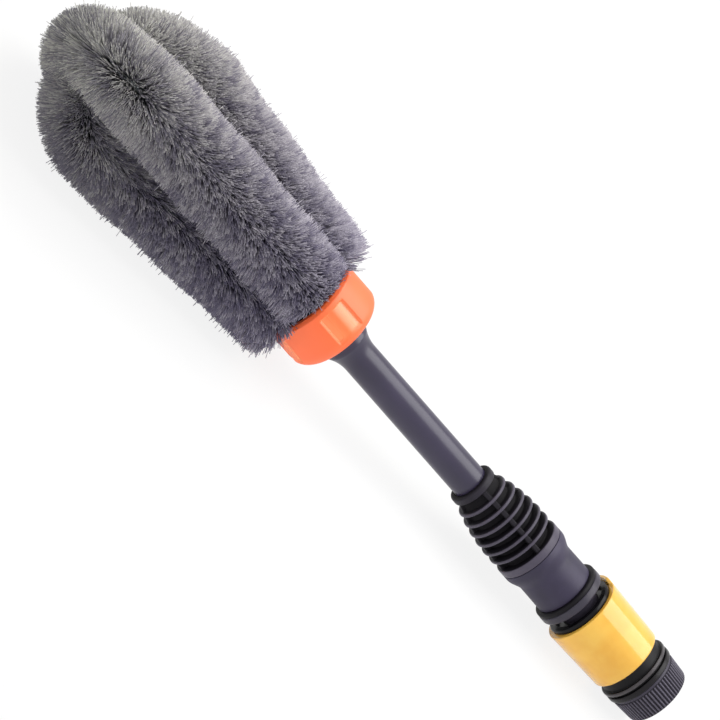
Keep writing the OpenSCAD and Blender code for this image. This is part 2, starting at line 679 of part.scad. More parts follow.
// One twisted wire, from socket to socket over the tip; the arch enters the arms by one degree
module wire_loop(loop) color(STEEL) {
    foot = hub_back + hub_socket_floor + seat_gap;
    lean = arm_lean(loop);
    for (side = [0, 1]) on_arm(loop, side, foot) cylinder(r = wire_r, h = arm_len(loop, foot));
    rotate([0, 0, loop_turn[loop]]) translate([0, 0, arch_centre[loop]]) rotate([90, 0, 0])
        rotate([0, 0, -lean - 1]) rotate_extrude(angle = 182 + 2 * lean)
            translate([arch_r, 0]) circle(wire_r - seat_gap);
}

// Point [across, along] and heading of a loop's line at a distance from its first foot
function loop_at(loop, s) =
    let (lean = arm_lean(loop), rise = arm_len(loop, bristle_foot), bend = arch_len(loop),
         total = 2 * rise + bend)
    s < rise ? [arm_u(loop, bristle_foot) + s * sin(lean), bristle_foot + s * cos(lean), lean]
    : s > rise + bend ? let (m = loop_at(loop, total - s)) [-m[0], m[1], 180 - m[2]]
    : let (a = (s - rise) / arch_r * 180 / PI - lean)
      [arch_r * cos(a), arch_centre[loop] + arch_r * sin(a), -a];

// Distance of a point [across, through, along] from a loop's line
function loop_gap(loop, p) =
    let (lean = arm_lean(loop), q = [abs(p[0]), p[2] - arch_centre[loop]],
         past = q[0] * sin(lean) + q[1] * cos(lean))
    norm([p[1], past > 0 && atan2(q[1], q[0]) >= -lean ? norm(q) - arch_r
                                                     : q[0] * cos(lean) - q[1] * sin(lean) - arch_r]);

// Point of a loop's space at a distance from its line, in a direction round the line
function round_loop(at, reach, turn) =
    [at[0] + reach * cos(turn) * cos(at[2]), reach * sin(turn), at[1] - reach * cos(turn) * sin(at[2])];

// Length of a bristle that stays on its own loop's side of the other loop and of the axis
function strand_reach(loop, at, turn) =
    min([bristle_len, for (reach = [strand_least:0.5:bristle_len]) let (p = round_loop(at, reach, turn))
        if (loop_gap(1 - loop, [p[1], p[0], p[2]]) < reach + strand_gap
            || (p[2] < arm_top(loop) && p[0] * at[0] < strand_gap * abs(at[0]))
            || (norm([p[0], p[2] - arch_centre[loop]]) < arch_r - arch_reach && at[1] > arm_top(loop)))
            reach - 0.5]);

// Bristles of one loop: rows of four-sided strands that grow out of the bound root round the wire
module bristle_loop(loop) color(BRISTLE) {
    total = 2 * arm_len(loop, bristle_foot) + arch_len(loop);
    rows = floor(total / bristle_pitch);
    step = total / rows;
    sides = root_sides;
    stops = concat([0], [for (i = [0:rows - 1], d = [-row_half, row_half]) (i + 0.5) * step + d], [total]);
    spin = [for (k = [0:len(stops) - 1]) 180 / sides * (floor((k - 1) / 2) % 2)];
    outer = [for (k = [0:len(stops) - 1], j = [0:sides - 1])
        round_loop(loop_at(loop, stops[k]), root_r, 360 * j / sides + spin[k])];
    bore = [for (k = [0:len(stops) - 1], j = [0:sides - 1])
        round_loop(loop_at(loop, stops[k]), root_bore_r, 360 * j / sides)];
    reaches = [for (i = [0:rows - 1], j = [0:sides - 1])
        strand_reach(loop, loop_at(loop, (i + 0.5) * step), 360 * (j + 0.5) / sides + spin[2 * i + 1])];
    tips = [for (i = [0:rows - 1], j = [0:sides - 1], c = [[-1, -1], [-1, 1], [1, 1], [1, -1]])
        let (turn = 360 * (j + 0.5) / sides + spin[2 * i + 1], reach = reaches[i * sides + j],
             lean = atan(strand_tip / reach))
        round_loop(loop_at(loop, (i + 0.5) * step + c[0] * strand_tip), reach, turn + c[1] * lean)];
    inner_first = len(outer);
    tip_first = inner_first + len(bore);
    last = (len(stops) - 1) * sides;
    walls = [for (k = [0:len(stops) - 2], j = [0:sides - 1]) let (
            n = (j + 1) % sides, i = (k - 1) / 2, a = k * sides + j, b = k * sides + n, c = b + sides,
            d = a + sides, t = tip_first + 4 * (i * sides + j))
        each (k % 2 == 1 && k < len(stops) - 2 && reaches[i * sides + j] > strand_least
            ? [[a, t, t + 1], [a, t + 1, b], [b, t + 1, t + 2], [b, t + 2, c], [c, t + 2, t + 3],
               [c, t + 3, d], [d, t + 3, t], [d, t, a], [t, t + 3, t + 2], [t, t + 2, t + 1]]
            : [[a, d, c], [a, c, b]])];
    lining = [for (k = [0:len(stops) - 2], j = [0:sides - 1]) let (
            n = (j + 1) % sides, a = inner_first + k * sides + j, b = inner_first + k * sides + n)
        each [[a, b, b + sides], [a, b + sides, a + sides]]];
    ends = [for (j = [0:sides - 1]) let (n = (j + 1) % sides, m = inner_first)
        each [[j, n, m + n], [j, m + n, m + j],
              [last + j, m + last + n, last + n], [last + j, m + last + j, m + last + n]]];
    echo(loop = loop, rows = rows, strands = len([for (r = reaches) if (r > strand_least) r]));
    rotate([0, 0, loop_turn[loop]]) polyhedron(concat(outer, bore, tips), concat(walls, lining, ends));
}

lay_down() hose_nut();
lay_down() hose_collet();
lay_down() connector_tail();
lay_down() release_sleeve();
lay_down() sleeve_spring();
lay_down() connector_body();
lay_down() claw(1);  // claw_1
lay_down() claw(2);  // claw_2
lay_down() claw(3);  // claw_3
lay_down() claw(4);  // claw_4
lay_down() hose_adaptor();
lay_down() adaptor_o_ring();
lay_down() adaptor_washer();
lay_down() handle_barrel();
lay_down() ribbed_grip();
lay_down() stem_tube();
lay_down() collar_nut();
lay_down() collar_slip_washer();
lay_down() head_gasket();
lay_down() wire_hub();
lay_down() wire_loop(0);  // wire_outer_loop
lay_down() wire_loop(1);  // wire_inner_loop
lay_down() bristle_loop(0);  // bristle_outer_loop
lay_down() bristle_loop(1);  // bristle_inner_loop
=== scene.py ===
# %% [markdown]
# # A flow-through wheel brush
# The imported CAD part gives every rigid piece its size, its place and its joints. This lesson dresses it:
# fine filaments on twisted wire, softly rounded mouldings, and a finish for each material.
# Lengths are in millimetres. A station is a distance from the hose end along the handle, which points
# along -X, so a point at station s lies at x = -s. Angles round the handle start at +Z and turn to +Y.

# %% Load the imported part
import bpy
import numpy as np
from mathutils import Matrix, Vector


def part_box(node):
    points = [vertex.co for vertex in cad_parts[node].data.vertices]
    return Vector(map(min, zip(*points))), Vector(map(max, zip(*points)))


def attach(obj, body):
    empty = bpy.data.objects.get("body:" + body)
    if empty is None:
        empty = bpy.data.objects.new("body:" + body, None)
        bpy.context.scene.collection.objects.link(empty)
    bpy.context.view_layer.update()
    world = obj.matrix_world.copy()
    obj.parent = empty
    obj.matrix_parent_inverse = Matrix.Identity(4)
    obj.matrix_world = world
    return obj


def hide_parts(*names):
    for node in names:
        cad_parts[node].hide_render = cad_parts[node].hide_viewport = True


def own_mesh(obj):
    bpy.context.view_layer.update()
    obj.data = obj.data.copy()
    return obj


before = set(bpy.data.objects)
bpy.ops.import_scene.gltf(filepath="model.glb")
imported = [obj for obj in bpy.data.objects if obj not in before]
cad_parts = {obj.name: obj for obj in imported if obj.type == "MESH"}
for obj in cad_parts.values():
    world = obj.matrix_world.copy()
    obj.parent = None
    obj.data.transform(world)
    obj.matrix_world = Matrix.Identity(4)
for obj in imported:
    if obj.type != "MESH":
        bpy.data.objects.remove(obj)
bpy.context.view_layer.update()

MM = 0.001

# %% [markdown]
# ## Camera
# The photograph was taken from far away: the rings of the handle look alike at both ends. A long lens on a
# distant camera gives that flat perspective. The camera stands on the brush head's side, looks down on
# the brush and is rolled, which is what makes the handle run from the upper left to the lower right.

# %% Camera at the photograph's viewing angle
AZIMUTH, ELEVATION, ROLL = np.radians((-27.24, 31.35, 63.7))
DISTANCE, VIEW_WIDTH, SENSOR = 12.0, 0.3052, 36.0
AIM = np.array((-0.2084, -0.0004, -0.0006))

to_camera = np.array((np.sin(AZIMUTH) * np.cos(ELEVATION), -np.cos(AZIMUTH) * np.cos(ELEVATION),
                      np.sin(ELEVATION)))
level = np.array((np.cos(AZIMUTH), np.sin(AZIMUTH), 0.0))
upright = np.cross(to_camera, level)
right = np.cos(ROLL) * level + np.sin(ROLL) * upright
up = np.cross(to_camera, right)
place = np.eye(4)
place[:3, 0], place[:3, 1], place[:3, 2] = right, up, to_camera
place[:3, 3] = AIM + DISTANCE * to_camera

camera = bpy.data.objects.new("camera", bpy.data.cameras.new("camera"))
camera.data.sensor_width = SENSOR
camera.data.lens = SENSOR * DISTANCE / VIEW_WIDTH
camera.data.clip_end = 40.0
camera.matrix_world = place.T.tolist()
bpy.context.scene.collection.objects.link(camera)
bpy.context.scene.camera = camera
print("lens, mm:", round(camera.data.lens, 1))

# %% [markdown]
# ## Colours and nodes
# Colours are picked as the sRGB hex values that a screen shows, and shaders work with linear light, so one
# function converts them. Another adds a shader node with its settings and links in a single call.

# %% Helpers for colours and shader nodes
def linear(hex_colour):
    """Linear RGBA of an sRGB hex colour: c / 12.92 below 0.04045, else ((c + 0.055) / 1.055) ^ 2.4."""
    c = np.array([int(hex_colour[k:k + 2], 16) for k in (1, 3, 5)]) / 255
    return (*np.where(c <= 0.04045, c / 12.92, ((c + 0.055) / 1.055) ** 2.4), 1.0)


def add(tree, kind, values=None, links=None, stops=None, **settings):
    """Adds one node, with its settings, the values of its free sockets, its links and its ramp's stops."""
    made = tree.nodes.new(kind)
    for name, value in settings.items():
        setattr(made, name, value)
    for name, value in (values or {}).items():
        made.inputs[name].default_value = value
    for name, output in (links or {}).items():
        tree.links.new(output, made.inputs[name])
    for k, (position, colour) in enumerate(stops or []):
        stop = made.color_ramp.elements[k] if k < 2 else made.color_ramp.elements.new(position)
        stop.position, stop.color = position, linear(colour)
    return made


def new_material(name):
    """A material with an empty node tree and its output node."""
    made = bpy.data.materials.new(name)
    made.use_nodes = True
    made.node_tree.nodes.clear()
    return made, made.node_tree, made.node_tree.nodes.new("ShaderNodeOutputMaterial")


print("orange in linear light:", np.round(linear("#ff7a45"), 3))

# %% [markdown]
# ## Studio
# The brush lies on a white sheet: the head's lowest bristles and the connector's rear ring touch it, so the
# sheet tilts a little in the part's frame. A broad soft box overhead draws the bright band along the handle,
# a weak one from the camera's left opens the shadows, a small one behind the head shines through the fringe
# of its far arm, two narrow ones in front lift the collar and the tip, and the white room fills in the rest.

# %% White sheet under the brush
SHEET, FLOOR_SLOPE, RING_X, RING_R, HEAD_X = 3000.0, 0.066, -12.8, 16.4, -360.0
GLARE, GLARE_FROM, GLARE_TO = 0.86, 0.6, 1.6

floor_x, floor_y = np.meshgrid((-SHEET, SHEET), (-SHEET, SHEET), indexing="ij")
floor_z = FLOOR_SLOPE * (floor_x - RING_X) - RING_R
floor_mesh = bpy.data.meshes.new("white_sheet")
floor_mesh.from_pydata((np.stack((floor_x, floor_y, floor_z), -1).reshape(-1, 3) * MM).tolist(), [],
                       [(0, 2, 3, 1)])
floor = bpy.data.objects.new("white_sheet", floor_mesh)
bpy.context.scene.collection.objects.link(floor)


def seen_directly(tree):
    """1 for a ray from the camera, off a mirror or through glass, else 0: the larger of the three flags."""
    path = add(tree, "ShaderNodeLightPath")
    seen = add(tree, "ShaderNodeMath", operation="MAXIMUM",
               links={0: path.outputs["Is Camera Ray"], 1: path.outputs["Is Glossy Ray"]})
    seen = add(tree, "ShaderNodeMath", operation="MAXIMUM",
               links={0: seen.outputs[0], 1: path.outputs["Is Transmission Ray"]})
    return seen.outputs[0]


# Matt white paper: it keeps a soft shadow, and the camera and mirrors see it near the white of the page,
# which it reaches away from the brush, so that no horizon shows.
paper, tree, output = new_material("matt white paper")
matt = add(tree, "ShaderNodeBsdfDiffuse", values={"Color": linear("#f4f4f4")})
glow = add(tree, "ShaderNodeEmission", values={"Strength": 1.0})
away = add(tree, "ShaderNodeVectorMath", operation="LENGTH",
           links={0: add(tree, "ShaderNodeTexCoord").outputs["Object"]})
glare = add(tree, "ShaderNodeMapRange", links={"Value": away.outputs["Value"]},
            values={"From Min": GLARE_FROM, "From Max": GLARE_TO, "To Min": GLARE, "To Max": 1.0})
share = add(tree, "ShaderNodeMath", operation="MULTIPLY",
            links={0: seen_directly(tree), 1: glare.outputs["Result"]})
sheet = add(tree, "ShaderNodeMixShader",
            links={0: share.outputs[0], 1: matt.outputs[0], 2: glow.outputs[0]})
tree.links.new(sheet.outputs[0], output.inputs["Surface"])
floor_mesh.materials.append(paper)
print("sheet at the head, mm:", round(FLOOR_SLOPE * (HEAD_X - RING_X) - RING_R, 1))

# %% White room and soft boxes
ROOM_LIGHT = 0.44
TIP, TIP_BOX_AT = np.array((-0.388, -0.012, 0.016)), 0.6

world = bpy.data.worlds.new("white_room")
bpy.context.scene.world = world
world.use_nodes = True
tree = world.node_tree
tree.nodes.clear()
strength = add(tree, "ShaderNodeMapRange", values={"To Min": ROOM_LIGHT, "To Max": 1.0},
               links={"Value": seen_directly(tree)})
room = add(tree, "ShaderNodeBackground", values={"Color": (1, 1, 1, 1)},
           links={"Strength": strength.outputs[0]})
add(tree, "ShaderNodeOutputWorld", links={"Surface": room.outputs[0]})


def soft_box(name, centre, target, width, length, watts, colour="#ffffff", spread=180):
    """A rectangular lamp at centre (m) that faces target, with its length along the handle. Its light opens
    into a cone of spread degrees."""
    lamp = bpy.data.lights.new(name, "AREA")
    lamp.shape, lamp.size, lamp.size_y, lamp.energy = "RECTANGLE", length, width, watts
    lamp.color, lamp.spread = linear(colour)[:3], np.radians(spread)
    away = np.array(centre) - np.array(target)
    away /= np.linalg.norm(away)
    along = np.array((1.0, 0, 0)) - away[0] * away
    along /= np.linalg.norm(along)
    turned = np.eye(4)
    turned[:3, 0], turned[:3, 1], turned[:3, 2], turned[:3, 3] = along, np.cross(away, along), away, centre
    box = bpy.data.objects.new(name, lamp)
    box.matrix_world = turned.T.tolist()
    box.visible_camera = False
    bpy.context.scene.collection.objects.link(box)
    return box


soft_box("overhead_box", (0.05, 0.18, 1.0), (-0.15, 0, 0), 0.95, 1.15, 11.8)
soft_box("left_box", (-0.75, -1.1, 0.35), (-0.2, 0, 0), 0.8, 0.8, 0.3)
soft_box("head_box", (-0.36, 0.24, 0.45), (-0.33, 0.05, 0.05), 0.25, 0.3, 1.1, "#fffdf2")
collar_box = soft_box("collar_box", (-0.18, -0.45, 0.0), (-0.2, 0, 0), 0.15, 0.15, 0.055, spread=50)
collar_box.visible_glossy = False
soft_box("tip_box", TIP + TIP_BOX_AT * to_camera, TIP, 0.05, 0.05, 0.0042, spread=12)
bpy.context.scene.view_settings.view_transform = "Standard"
print("lamps:", [lamp.name for lamp in bpy.data.lights])

# %% [markdown]
# ## Finishes
# Almost every rigid piece is moulded plastic. What the eye gets from it is the gloss, which comes from how
# the mould was polished, and a very faint unevenness: the colour drifts a little along the flow of the melt
# and the skin keeps the mould's grain. Grain finer than a pixel is drawn coarser, so that it shows at all.

# %% Moulded plastics and rubber
PLASTIC_IOR = 1.5


def moulded(name, colour, shade, rough, drift_mm, grain_mm, grain_depth_mm, coat=0.0, specular=0.5):
    """Moulded plastic: noise of size drift_mm mixes shade and colour, noise of size grain_mm lifts the skin
    by grain_depth_mm and moves the roughness by a tenth of itself. A noise of size g mm has the scale
    1000 / g."""
    made, tree, output = new_material(name)
    where = add(tree, "ShaderNodeTexCoord").outputs["Object"]
    drift = add(tree, "ShaderNodeTexNoise", values={"Scale": 1000 / drift_mm, "Detail": 3.0},
                links={"Vector": where})
    grain = add(tree, "ShaderNodeTexNoise", values={"Scale": 1000 / grain_mm, "Detail": 2.0},
                links={"Vector": where})
    tint = add(tree, "ShaderNodeValToRGB", links={"Fac": drift.outputs["Fac"]},
               stops=[(0.35, shade), (0.65, colour)])
    gloss = add(tree, "ShaderNodeMapRange", values={"To Min": rough * 0.9, "To Max": rough * 1.1},
                links={"Value": grain.outputs["Fac"]})
    skin = add(tree, "ShaderNodeBump", values={"Strength": 1.0, "Distance": grain_depth_mm * MM},
               links={"Height": grain.outputs["Fac"]})
    body = add(tree, "ShaderNodeBsdfPrincipled",
               values={"IOR": PLASTIC_IOR, "Coat Weight": coat, "Coat Roughness": 0.06,
                       "Specular IOR Level": specular},
               links={"Base Color": tint.outputs["Color"], "Roughness": gloss.outputs["Result"],
                      "Normal": skin.outputs["Normal"]})
    tree.links.new(body.outputs[0], output.inputs["Surface"])
    return made


# Charcoal polypropylene from a fine-blasted mould: a broad, soft shine with a faint violet cast.
charcoal = moulded("moulded charcoal polypropylene", "#342e45", "#2d283d", 0.3, 26, 0.9, 0.012)
# The barrel's charcoal is rubbed by hands: the same colour with a duller, wider shine.
rubbed_charcoal = moulded("rubbed charcoal polypropylene", "#342e45", "#2b263a", 0.52, 12, 0.9, 0.016,
                          specular=0.4)
# Black ABS from a bright mould: almost no colour of its own, so its edges show as grey glints.
black_abs = moulded("moulded black ABS", "#0c0b0f", "#08070a", 0.2, 18, 0.9, 0.006, specular=0.18)
# Dark grey ABS with a satin skin for the adaptor's ring: painted paler than the black round it, a painted
# highlight for the light on its face.
painted_lit_grey_abs = moulded("dark grey ABS painted paler for its lit face", "#3a3742", "#332f3b", 0.36, 14, 0.9, 0.01, specular=0.3)
# Black rubber of the washers: a matt, dry skin that takes the light away.
rubber = moulded("moulded black rubber", "#131116", "#0d0b0f", 0.5, 9, 0.8, 0.02, specular=0.15)
# Yellow ABS from a polished mould: the colour drifts where the melt swirled round the core.
yellow_abs = moulded("moulded yellow ABS", "#f8c452", "#f0b340", 0.2, 12, 1.6, 0.008, coat=0.55, specular=0.3)
print("plastics:", [m.name for m in (charcoal, rubbed_charcoal, black_abs, painted_lit_grey_abs, rubber, yellow_abs)])

# %% [markdown]
# Hands polish what they touch, so the tops of the grip's ribs, of the nut's ribs and of the connector's rings
# are smoother than the grooves between them. Their colour also follows depth: the grooves are painted dark, a
# painted shade, and the tops of the connector's rings are painted grey, a painted highlight. Each point of
# those pieces stores its depth below the tops, and the finish reads that number. On the collar the sunk
# finger pads are the smooth part, and they are painted paler, a painted highlight.

# %% Ribs with painted light and shade
DRIFT_MM, DRIFT_DEPTH = 15, 0.2


def relief_painted_by_depth(name, crest, flank, groove, rough, deep_rough, grain_mm, grain_depth_mm, specular):
    """Moulded skin in relief: the attribute depth, 0 on a crest and 1 on a groove's floor, runs the colour
    from crest through flank to groove, which paints light and shade by depth, and the roughness from rough to
    deep_rough. A slow noise of size DRIFT_MM adds up to DRIFT_DEPTH to the depth that the colour sees, and
    noise of size grain_mm lifts the skin by grain_depth_mm."""
    made, tree, output = new_material(name)
    where = add(tree, "ShaderNodeTexCoord").outputs["Object"]
    depth = add(tree, "ShaderNodeAttribute", attribute_name="depth")
    drift = add(tree, "ShaderNodeTexNoise", values={"Scale": 1000 / DRIFT_MM, "Detail": 3.0},
                links={"Vector": where})
    grain = add(tree, "ShaderNodeTexNoise", values={"Scale": 1000 / grain_mm, "Detail": 2.0},
                links={"Vector": where})
    drifted = add(tree, "ShaderNodeMath", operation="MULTIPLY_ADD", values={1: DRIFT_DEPTH},
                  links={0: drift.outputs["Fac"], 2: depth.outputs["Fac"]})
    tint = add(tree, "ShaderNodeValToRGB", links={"Fac": drifted.outputs[0]},
               stops=[(0.06, crest), (1.0, groove), (0.4, flank)])
    gloss = add(tree, "ShaderNodeMapRange", values={"To Min": rough, "To Max": deep_rough},
                links={"Value": depth.outputs["Fac"]})
    skin = add(tree, "ShaderNodeBump", values={"Strength": 1.0, "Distance": grain_depth_mm * MM},
               links={"Height": grain.outputs["Fac"]})
    body = add(tree, "ShaderNodeBsdfPrincipled", values={"IOR": PLASTIC_IOR, "Specular IOR Level": specular},
               links={"Base Color": tint.outputs["Color"], "Roughness": gloss.outputs["Result"],
                      "Normal": skin.outputs["Normal"]})
    tree.links.new(body.outputs[0], output.inputs["Surface"])
    return made


# Thermoplastic rubber of the grip: grey crests over grooves painted black, a painted shade.
grip_rubber = relief_painted_by_depth("thermoplastic rubber, grooves painted black", "#56515f", "#1d1a22", "#09070c", 0.36, 0.72, 0.8, 0.02, 0.18)
# ABS of the hose nut: its ribs read as fine grey lines over grooves painted darker, a painted shade.
nut_abs = relief_painted_by_depth("dark grey ABS, grooves painted darker", "#5c5866", "#433f4c", "#29262f", 0.34, 0.68, 0.9, 0.01, 0.25)
# Black ABS of the connector's tail: the tops of its two rings are painted grey, a painted highlight.
tail_abs = relief_painted_by_depth("black ABS, ring tops painted grey", "#4e4a4d", "#1b191c", "#0a090c", 0.24, 0.48, 0.9, 0.006, 0.2)
# Orange ABS of the collar: a satin wall, and finger pads smoother and painted paler, a painted highlight.
collar_abs = relief_painted_by_depth("orange ABS, pads painted paler", "#ff6d38", "#ff7a42", "#ff9458", 0.5, 0.08, 1.4, 0.006, 0.65)
print("worn:", [m.name for m in (grip_rubber, nut_abs, tail_abs, collar_abs)])

# %% [markdown]
# The brush's core and the spring are zinc-plated steel wire. Drawing leaves fine streaks and the zinc
# dulls unevenly, so the roughness wanders and the grey is never quite the same.

# %% Zinc-plated wire
PATCH_MM = 2.0


def zinc_wire(name):
    """Metal whose roughness and grey follow a noise of size PATCH_MM, that of the dull patches in zinc."""
    made, tree, output = new_material(name)
    where = add(tree, "ShaderNodeTexCoord").outputs["Object"]
    patch = add(tree, "ShaderNodeTexNoise", values={"Scale": 1000 / PATCH_MM, "Detail": 4.0},
                links={"Vector": where})
    tint = add(tree, "ShaderNodeValToRGB", links={"Fac": patch.outputs["Fac"]},
               stops=[(0.3, "#a9adb1"), (0.7, "#d5d8da")])
    gloss = add(tree, "ShaderNodeMapRange", values={"To Min": 0.2, "To Max": 0.42},
                links={"Value": patch.outputs["Fac"]})
    body = add(tree, "ShaderNodeBsdfPrincipled", values={"Metallic": 1.0},
               links={"Base Color": tint.outputs["Color"], "Roughness": gloss.outputs["Result"]})
    tree.links.new(body.outputs[0], output.inputs["Surface"])
    return made


zinc = zinc_wire("drawn zinc-plated steel")
print("metal:", zinc.name)

# %% [markdown]
# ## Turned pieces
# A nut, a sleeve or a stem is a body of revolution: an outline swept once round the handle's axis. Blender
# has a Screw modifier for that. Here the sweep is a grid of points instead, outline by angle, because then
# pads, ribs and webs are simply a change of radius that depends on where the point is.

# %% Outlines with softened corners
ROUND_SHARE, HOLD_SHARE = 0.4, 0.47


def soften(outline, steps=5, hold=0.25):
    """Rounds a closed outline of rows (station, radius, round). Each corner P becomes the parabola
    (1-t)^2 A + 2t(1-t) P + t^2 B, where A and B lie on its two sides at the distance round, and a holding
    point beyond each end keeps the shading of long walls flat. Neither takes more than its SHARE of a side. A
    row with round 0 stays one point."""
    rows = np.array(outline, float)
    corner, size = rows[:, :2], rows[:, 2:]
    back, ahead = np.roll(corner, 1, 0) - corner, np.roll(corner, -1, 0) - corner
    back_len = np.linalg.norm(back, axis=1, keepdims=True)
    ahead_len = np.linalg.norm(ahead, axis=1, keepdims=True)
    a, b = back / back_len, ahead / ahead_len
    t = np.linspace(0, 1, steps)[None, :, None]
    arc = ((1 - t) ** 2 * (corner + a * np.minimum(size, ROUND_SHARE * back_len))[:, None]
           + 2 * t * (1 - t) * corner[:, None]
           + t ** 2 * (corner + b * np.minimum(size, ROUND_SHARE * ahead_len))[:, None])
    first = (corner + a * np.minimum(size + hold, HOLD_SHARE * back_len))[:, None]
    last = (corner + b * np.minimum(size + hold, HOLD_SHARE * ahead_len))[:, None]
    points = np.concatenate((first, arc, last), 1)
    keep = np.ones(points.shape[:2], bool)
    keep[rows[:, 2] == 0] = np.arange(steps + 2) == (steps + 1) // 2
    return points[keep]


square = [(0, 1, 0.2), (0, 2, 0.2), (1, 2, 0.2), (1, 1, 0.2)]
print("outline of a square softened to", len(soften(square)), "points")

# %% Outlines swept into pieces
def make_piece(name, points, *faces):
    """Puts points (mm) and arrays of quads or triangles into a smooth mesh, on an object at the origin."""
    corners = np.concatenate([f.ravel() for f in faces]).astype(np.int32)
    sizes = np.concatenate([np.full(len(f), f.shape[1]) for f in faces])
    mesh = bpy.data.meshes.new(name)
    mesh.vertices.add(len(points))
    mesh.vertices.foreach_set("co", (points * MM).astype(np.float32).ravel())
    mesh.loops.add(len(corners))
    mesh.loops.foreach_set("vertex_index", corners)
    mesh.polygons.add(len(sizes))
    mesh.polygons.foreach_set("loop_start", (np.cumsum(sizes) - sizes).astype(np.int32))
    mesh.polygons.foreach_set("use_smooth", np.ones(len(sizes), bool))
    mesh.update(calc_edges=True)
    piece = bpy.data.objects.new(name, mesh)
    bpy.context.scene.collection.objects.link(piece)
    return piece


def closed_grid(rows, columns):
    """Quads of a grid whose last row and last column join the first, like the skin of a ring."""
    index = np.arange(rows * columns).reshape(rows, columns)
    along, round_ = np.roll(index, -1, 0), np.roll(index, -1, 1)
    return np.stack((index, along, np.roll(along, -1, 1), round_), -1).reshape(-1, 4)


def turned_piece(name, outline, turns=144, relief=None, angles=None):
    """Sweeps a closed outline, which runs outwards at its hose end, round the axis: (x, y, z) =
    (-s, r sin a, r cos a). relief(s, a, r) gives the s and r of a point that was changed, where pads, ribs or
    a tab break the round shape."""
    line = soften(outline)
    angles = np.linspace(0, 2 * np.pi, turns, endpoint=False) if angles is None else angles
    s, a = np.meshgrid(line[:, 0], angles, indexing="ij")
    r = np.broadcast_to(line[:, 1:], s.shape)
    if relief:
        s, r = relief(s, a, r)
    points = np.stack((-s, r * np.sin(a), r * np.cos(a)), -1)
    return make_piece(name, points.reshape(-1, 3), closed_grid(*s.shape)[:, ::-1])


print("quads of a ring of 3 by 4 points:", len(closed_grid(3, 4)))

# %% Bodies, slots and wear
def finish_piece(piece, material, body, slot, *nodes):
    """Gives a piece its finish, body and CAD nodes, and prints how far it stands out of their box. The
    argument slot is not used.
    """
    piece.data.materials.append(material)
    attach(piece, body)
    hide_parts(*nodes)
    boxes = np.array([[list(corner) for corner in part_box(n)] for n in nodes])
    points = np.empty(len(piece.data.vertices) * 3, np.float32)
    piece.data.vertices.foreach_get("co", points)
    points = points.reshape(-1, 3)
    proud = max((boxes[:, 0].min(0) - points.min(0)).max(), (points.max(0) - boxes[:, 1].max(0)).max())
    print(piece.name, len(piece.data.polygons), "faces, proud of its CAD box by", round(proud / MM, 2), "mm")


def mark_depth(piece, depth):
    """Stores depth(s, r), one number for each point of a turned piece, under the name that a finish reads."""
    points = np.empty(len(piece.data.vertices) * 3, np.float32)
    piece.data.vertices.foreach_get("co", points)
    x, y, z = points.reshape(-1, 3).T / MM
    layer = piece.data.attributes.new("depth", "FLOAT", "POINT")
    layer.data.foreach_set("value", np.clip(depth(-x, np.hypot(y, z)), 0, 1).astype(np.float32))


print("CAD nodes to dress:", len(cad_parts))

# %% [markdown]
# ## Hose nut
# The nut that clamps the hose has about sixty straight ribs for wet fingers, and swells a little towards its
# front. The ribs are one repeating wave round the edge: a flat top, a flat floor and steep flanks. The wave
# only lowers the rounded outline, so the ribs run out by themselves where the rear edge curves in.

# %% Hose nut with its grip ribs
NUT_R, NUT_BORE, NUT_SWELL, NUT_RIBS, NUT_GROOVE = 15.0, 9.7, 0.75, 60, 0.6
RIB_END, RIB_FLANK, RIB_FOOT, NUT_INSIDE, RIM_STEP, RIM_TONE = 11.0, 1.1, 14.0, 13.4, 0.6, 0.3


def smooth_step(x):
    """0 below 0, 1 above 1 and 3 x^2 - 2 x^3 between."""
    x = np.clip(x, 0, 1)
    return x * x * (3 - 2 * x)


def nut_radius(s):
    """Radius over the ribs: NUT_R at the rear, growing in proportion to s by NUT_SWELL at the front rim."""
    return NUT_R + NUT_SWELL * np.clip(s / RIB_END, 0, 1)


def grip_wave(s, a, r):
    """Lowers r to nut_radius - NUT_GROOVE g outside NUT_INSIDE, where g is the smooth step of a cosine wave
    with NUT_RIBS periods round the nut. RIB_FLANK sets how steep its flanks are."""
    g = smooth_step(0.5 + RIB_FLANK * np.cos(NUT_RIBS * a))
    return s, np.where(r > NUT_INSIDE, np.minimum(r, nut_radius(s) - NUT_GROOVE * g), r)


nut_front = nut_radius(RIB_END)
hose_nut = turned_piece("hose_nut_ribbed", [
    (0, NUT_BORE, 0.4), (0, NUT_R, 1.6), (RIB_END, nut_front, 0.3), (11.15, nut_front - RIM_STEP, 0.1),
    (12.4, nut_front - RIM_STEP, 0.35), (12.4, 12.95, 0.2), (7.25, 12.95, 0.2), (4.0, NUT_BORE, 0.2)],
    turns=NUT_RIBS * 8, relief=grip_wave)
# This depth paints the grooves darker, a painted shade.
mark_depth(hose_nut, lambda s, r: np.where(
    (s < RIB_END + 0.2) & (r > RIB_FOOT), (nut_radius(s) - r) / NUT_GROOVE, RIM_TONE))
finish_piece(hose_nut, nut_abs, "nut", "black_plastic", "hose_nut")

# %% [markdown]
# ## Hose connector
# The tail carries two rings that catch the light as thin bright lines, the yellow release sleeve swells
# a little towards the front and has a thumb tab on its far side, and the body ends in a black lip with a dark
# mouth inside. Their edges matter more than their walls: a moulded edge is never sharp, and its small round
# is what glints. The tab is a relief too: it moves the front edge forward over a range of angles.

# %% Connector tail and release sleeve
TAIL_BORE, RING_TOP, RING_FALL, REAR_RING_END, REAR_RING_DIMMER = 4.6, 16.45, 1.1, 16.0, 0.25
TAB_TURN, TAB_HALF, TAB_SIDE = np.radians((66, 33, 5))
TAB_LEN, TAB_FROM, TAB_INNER, SLEEVE_FRONT = 3.0, 53.3, 15.9, 54.2


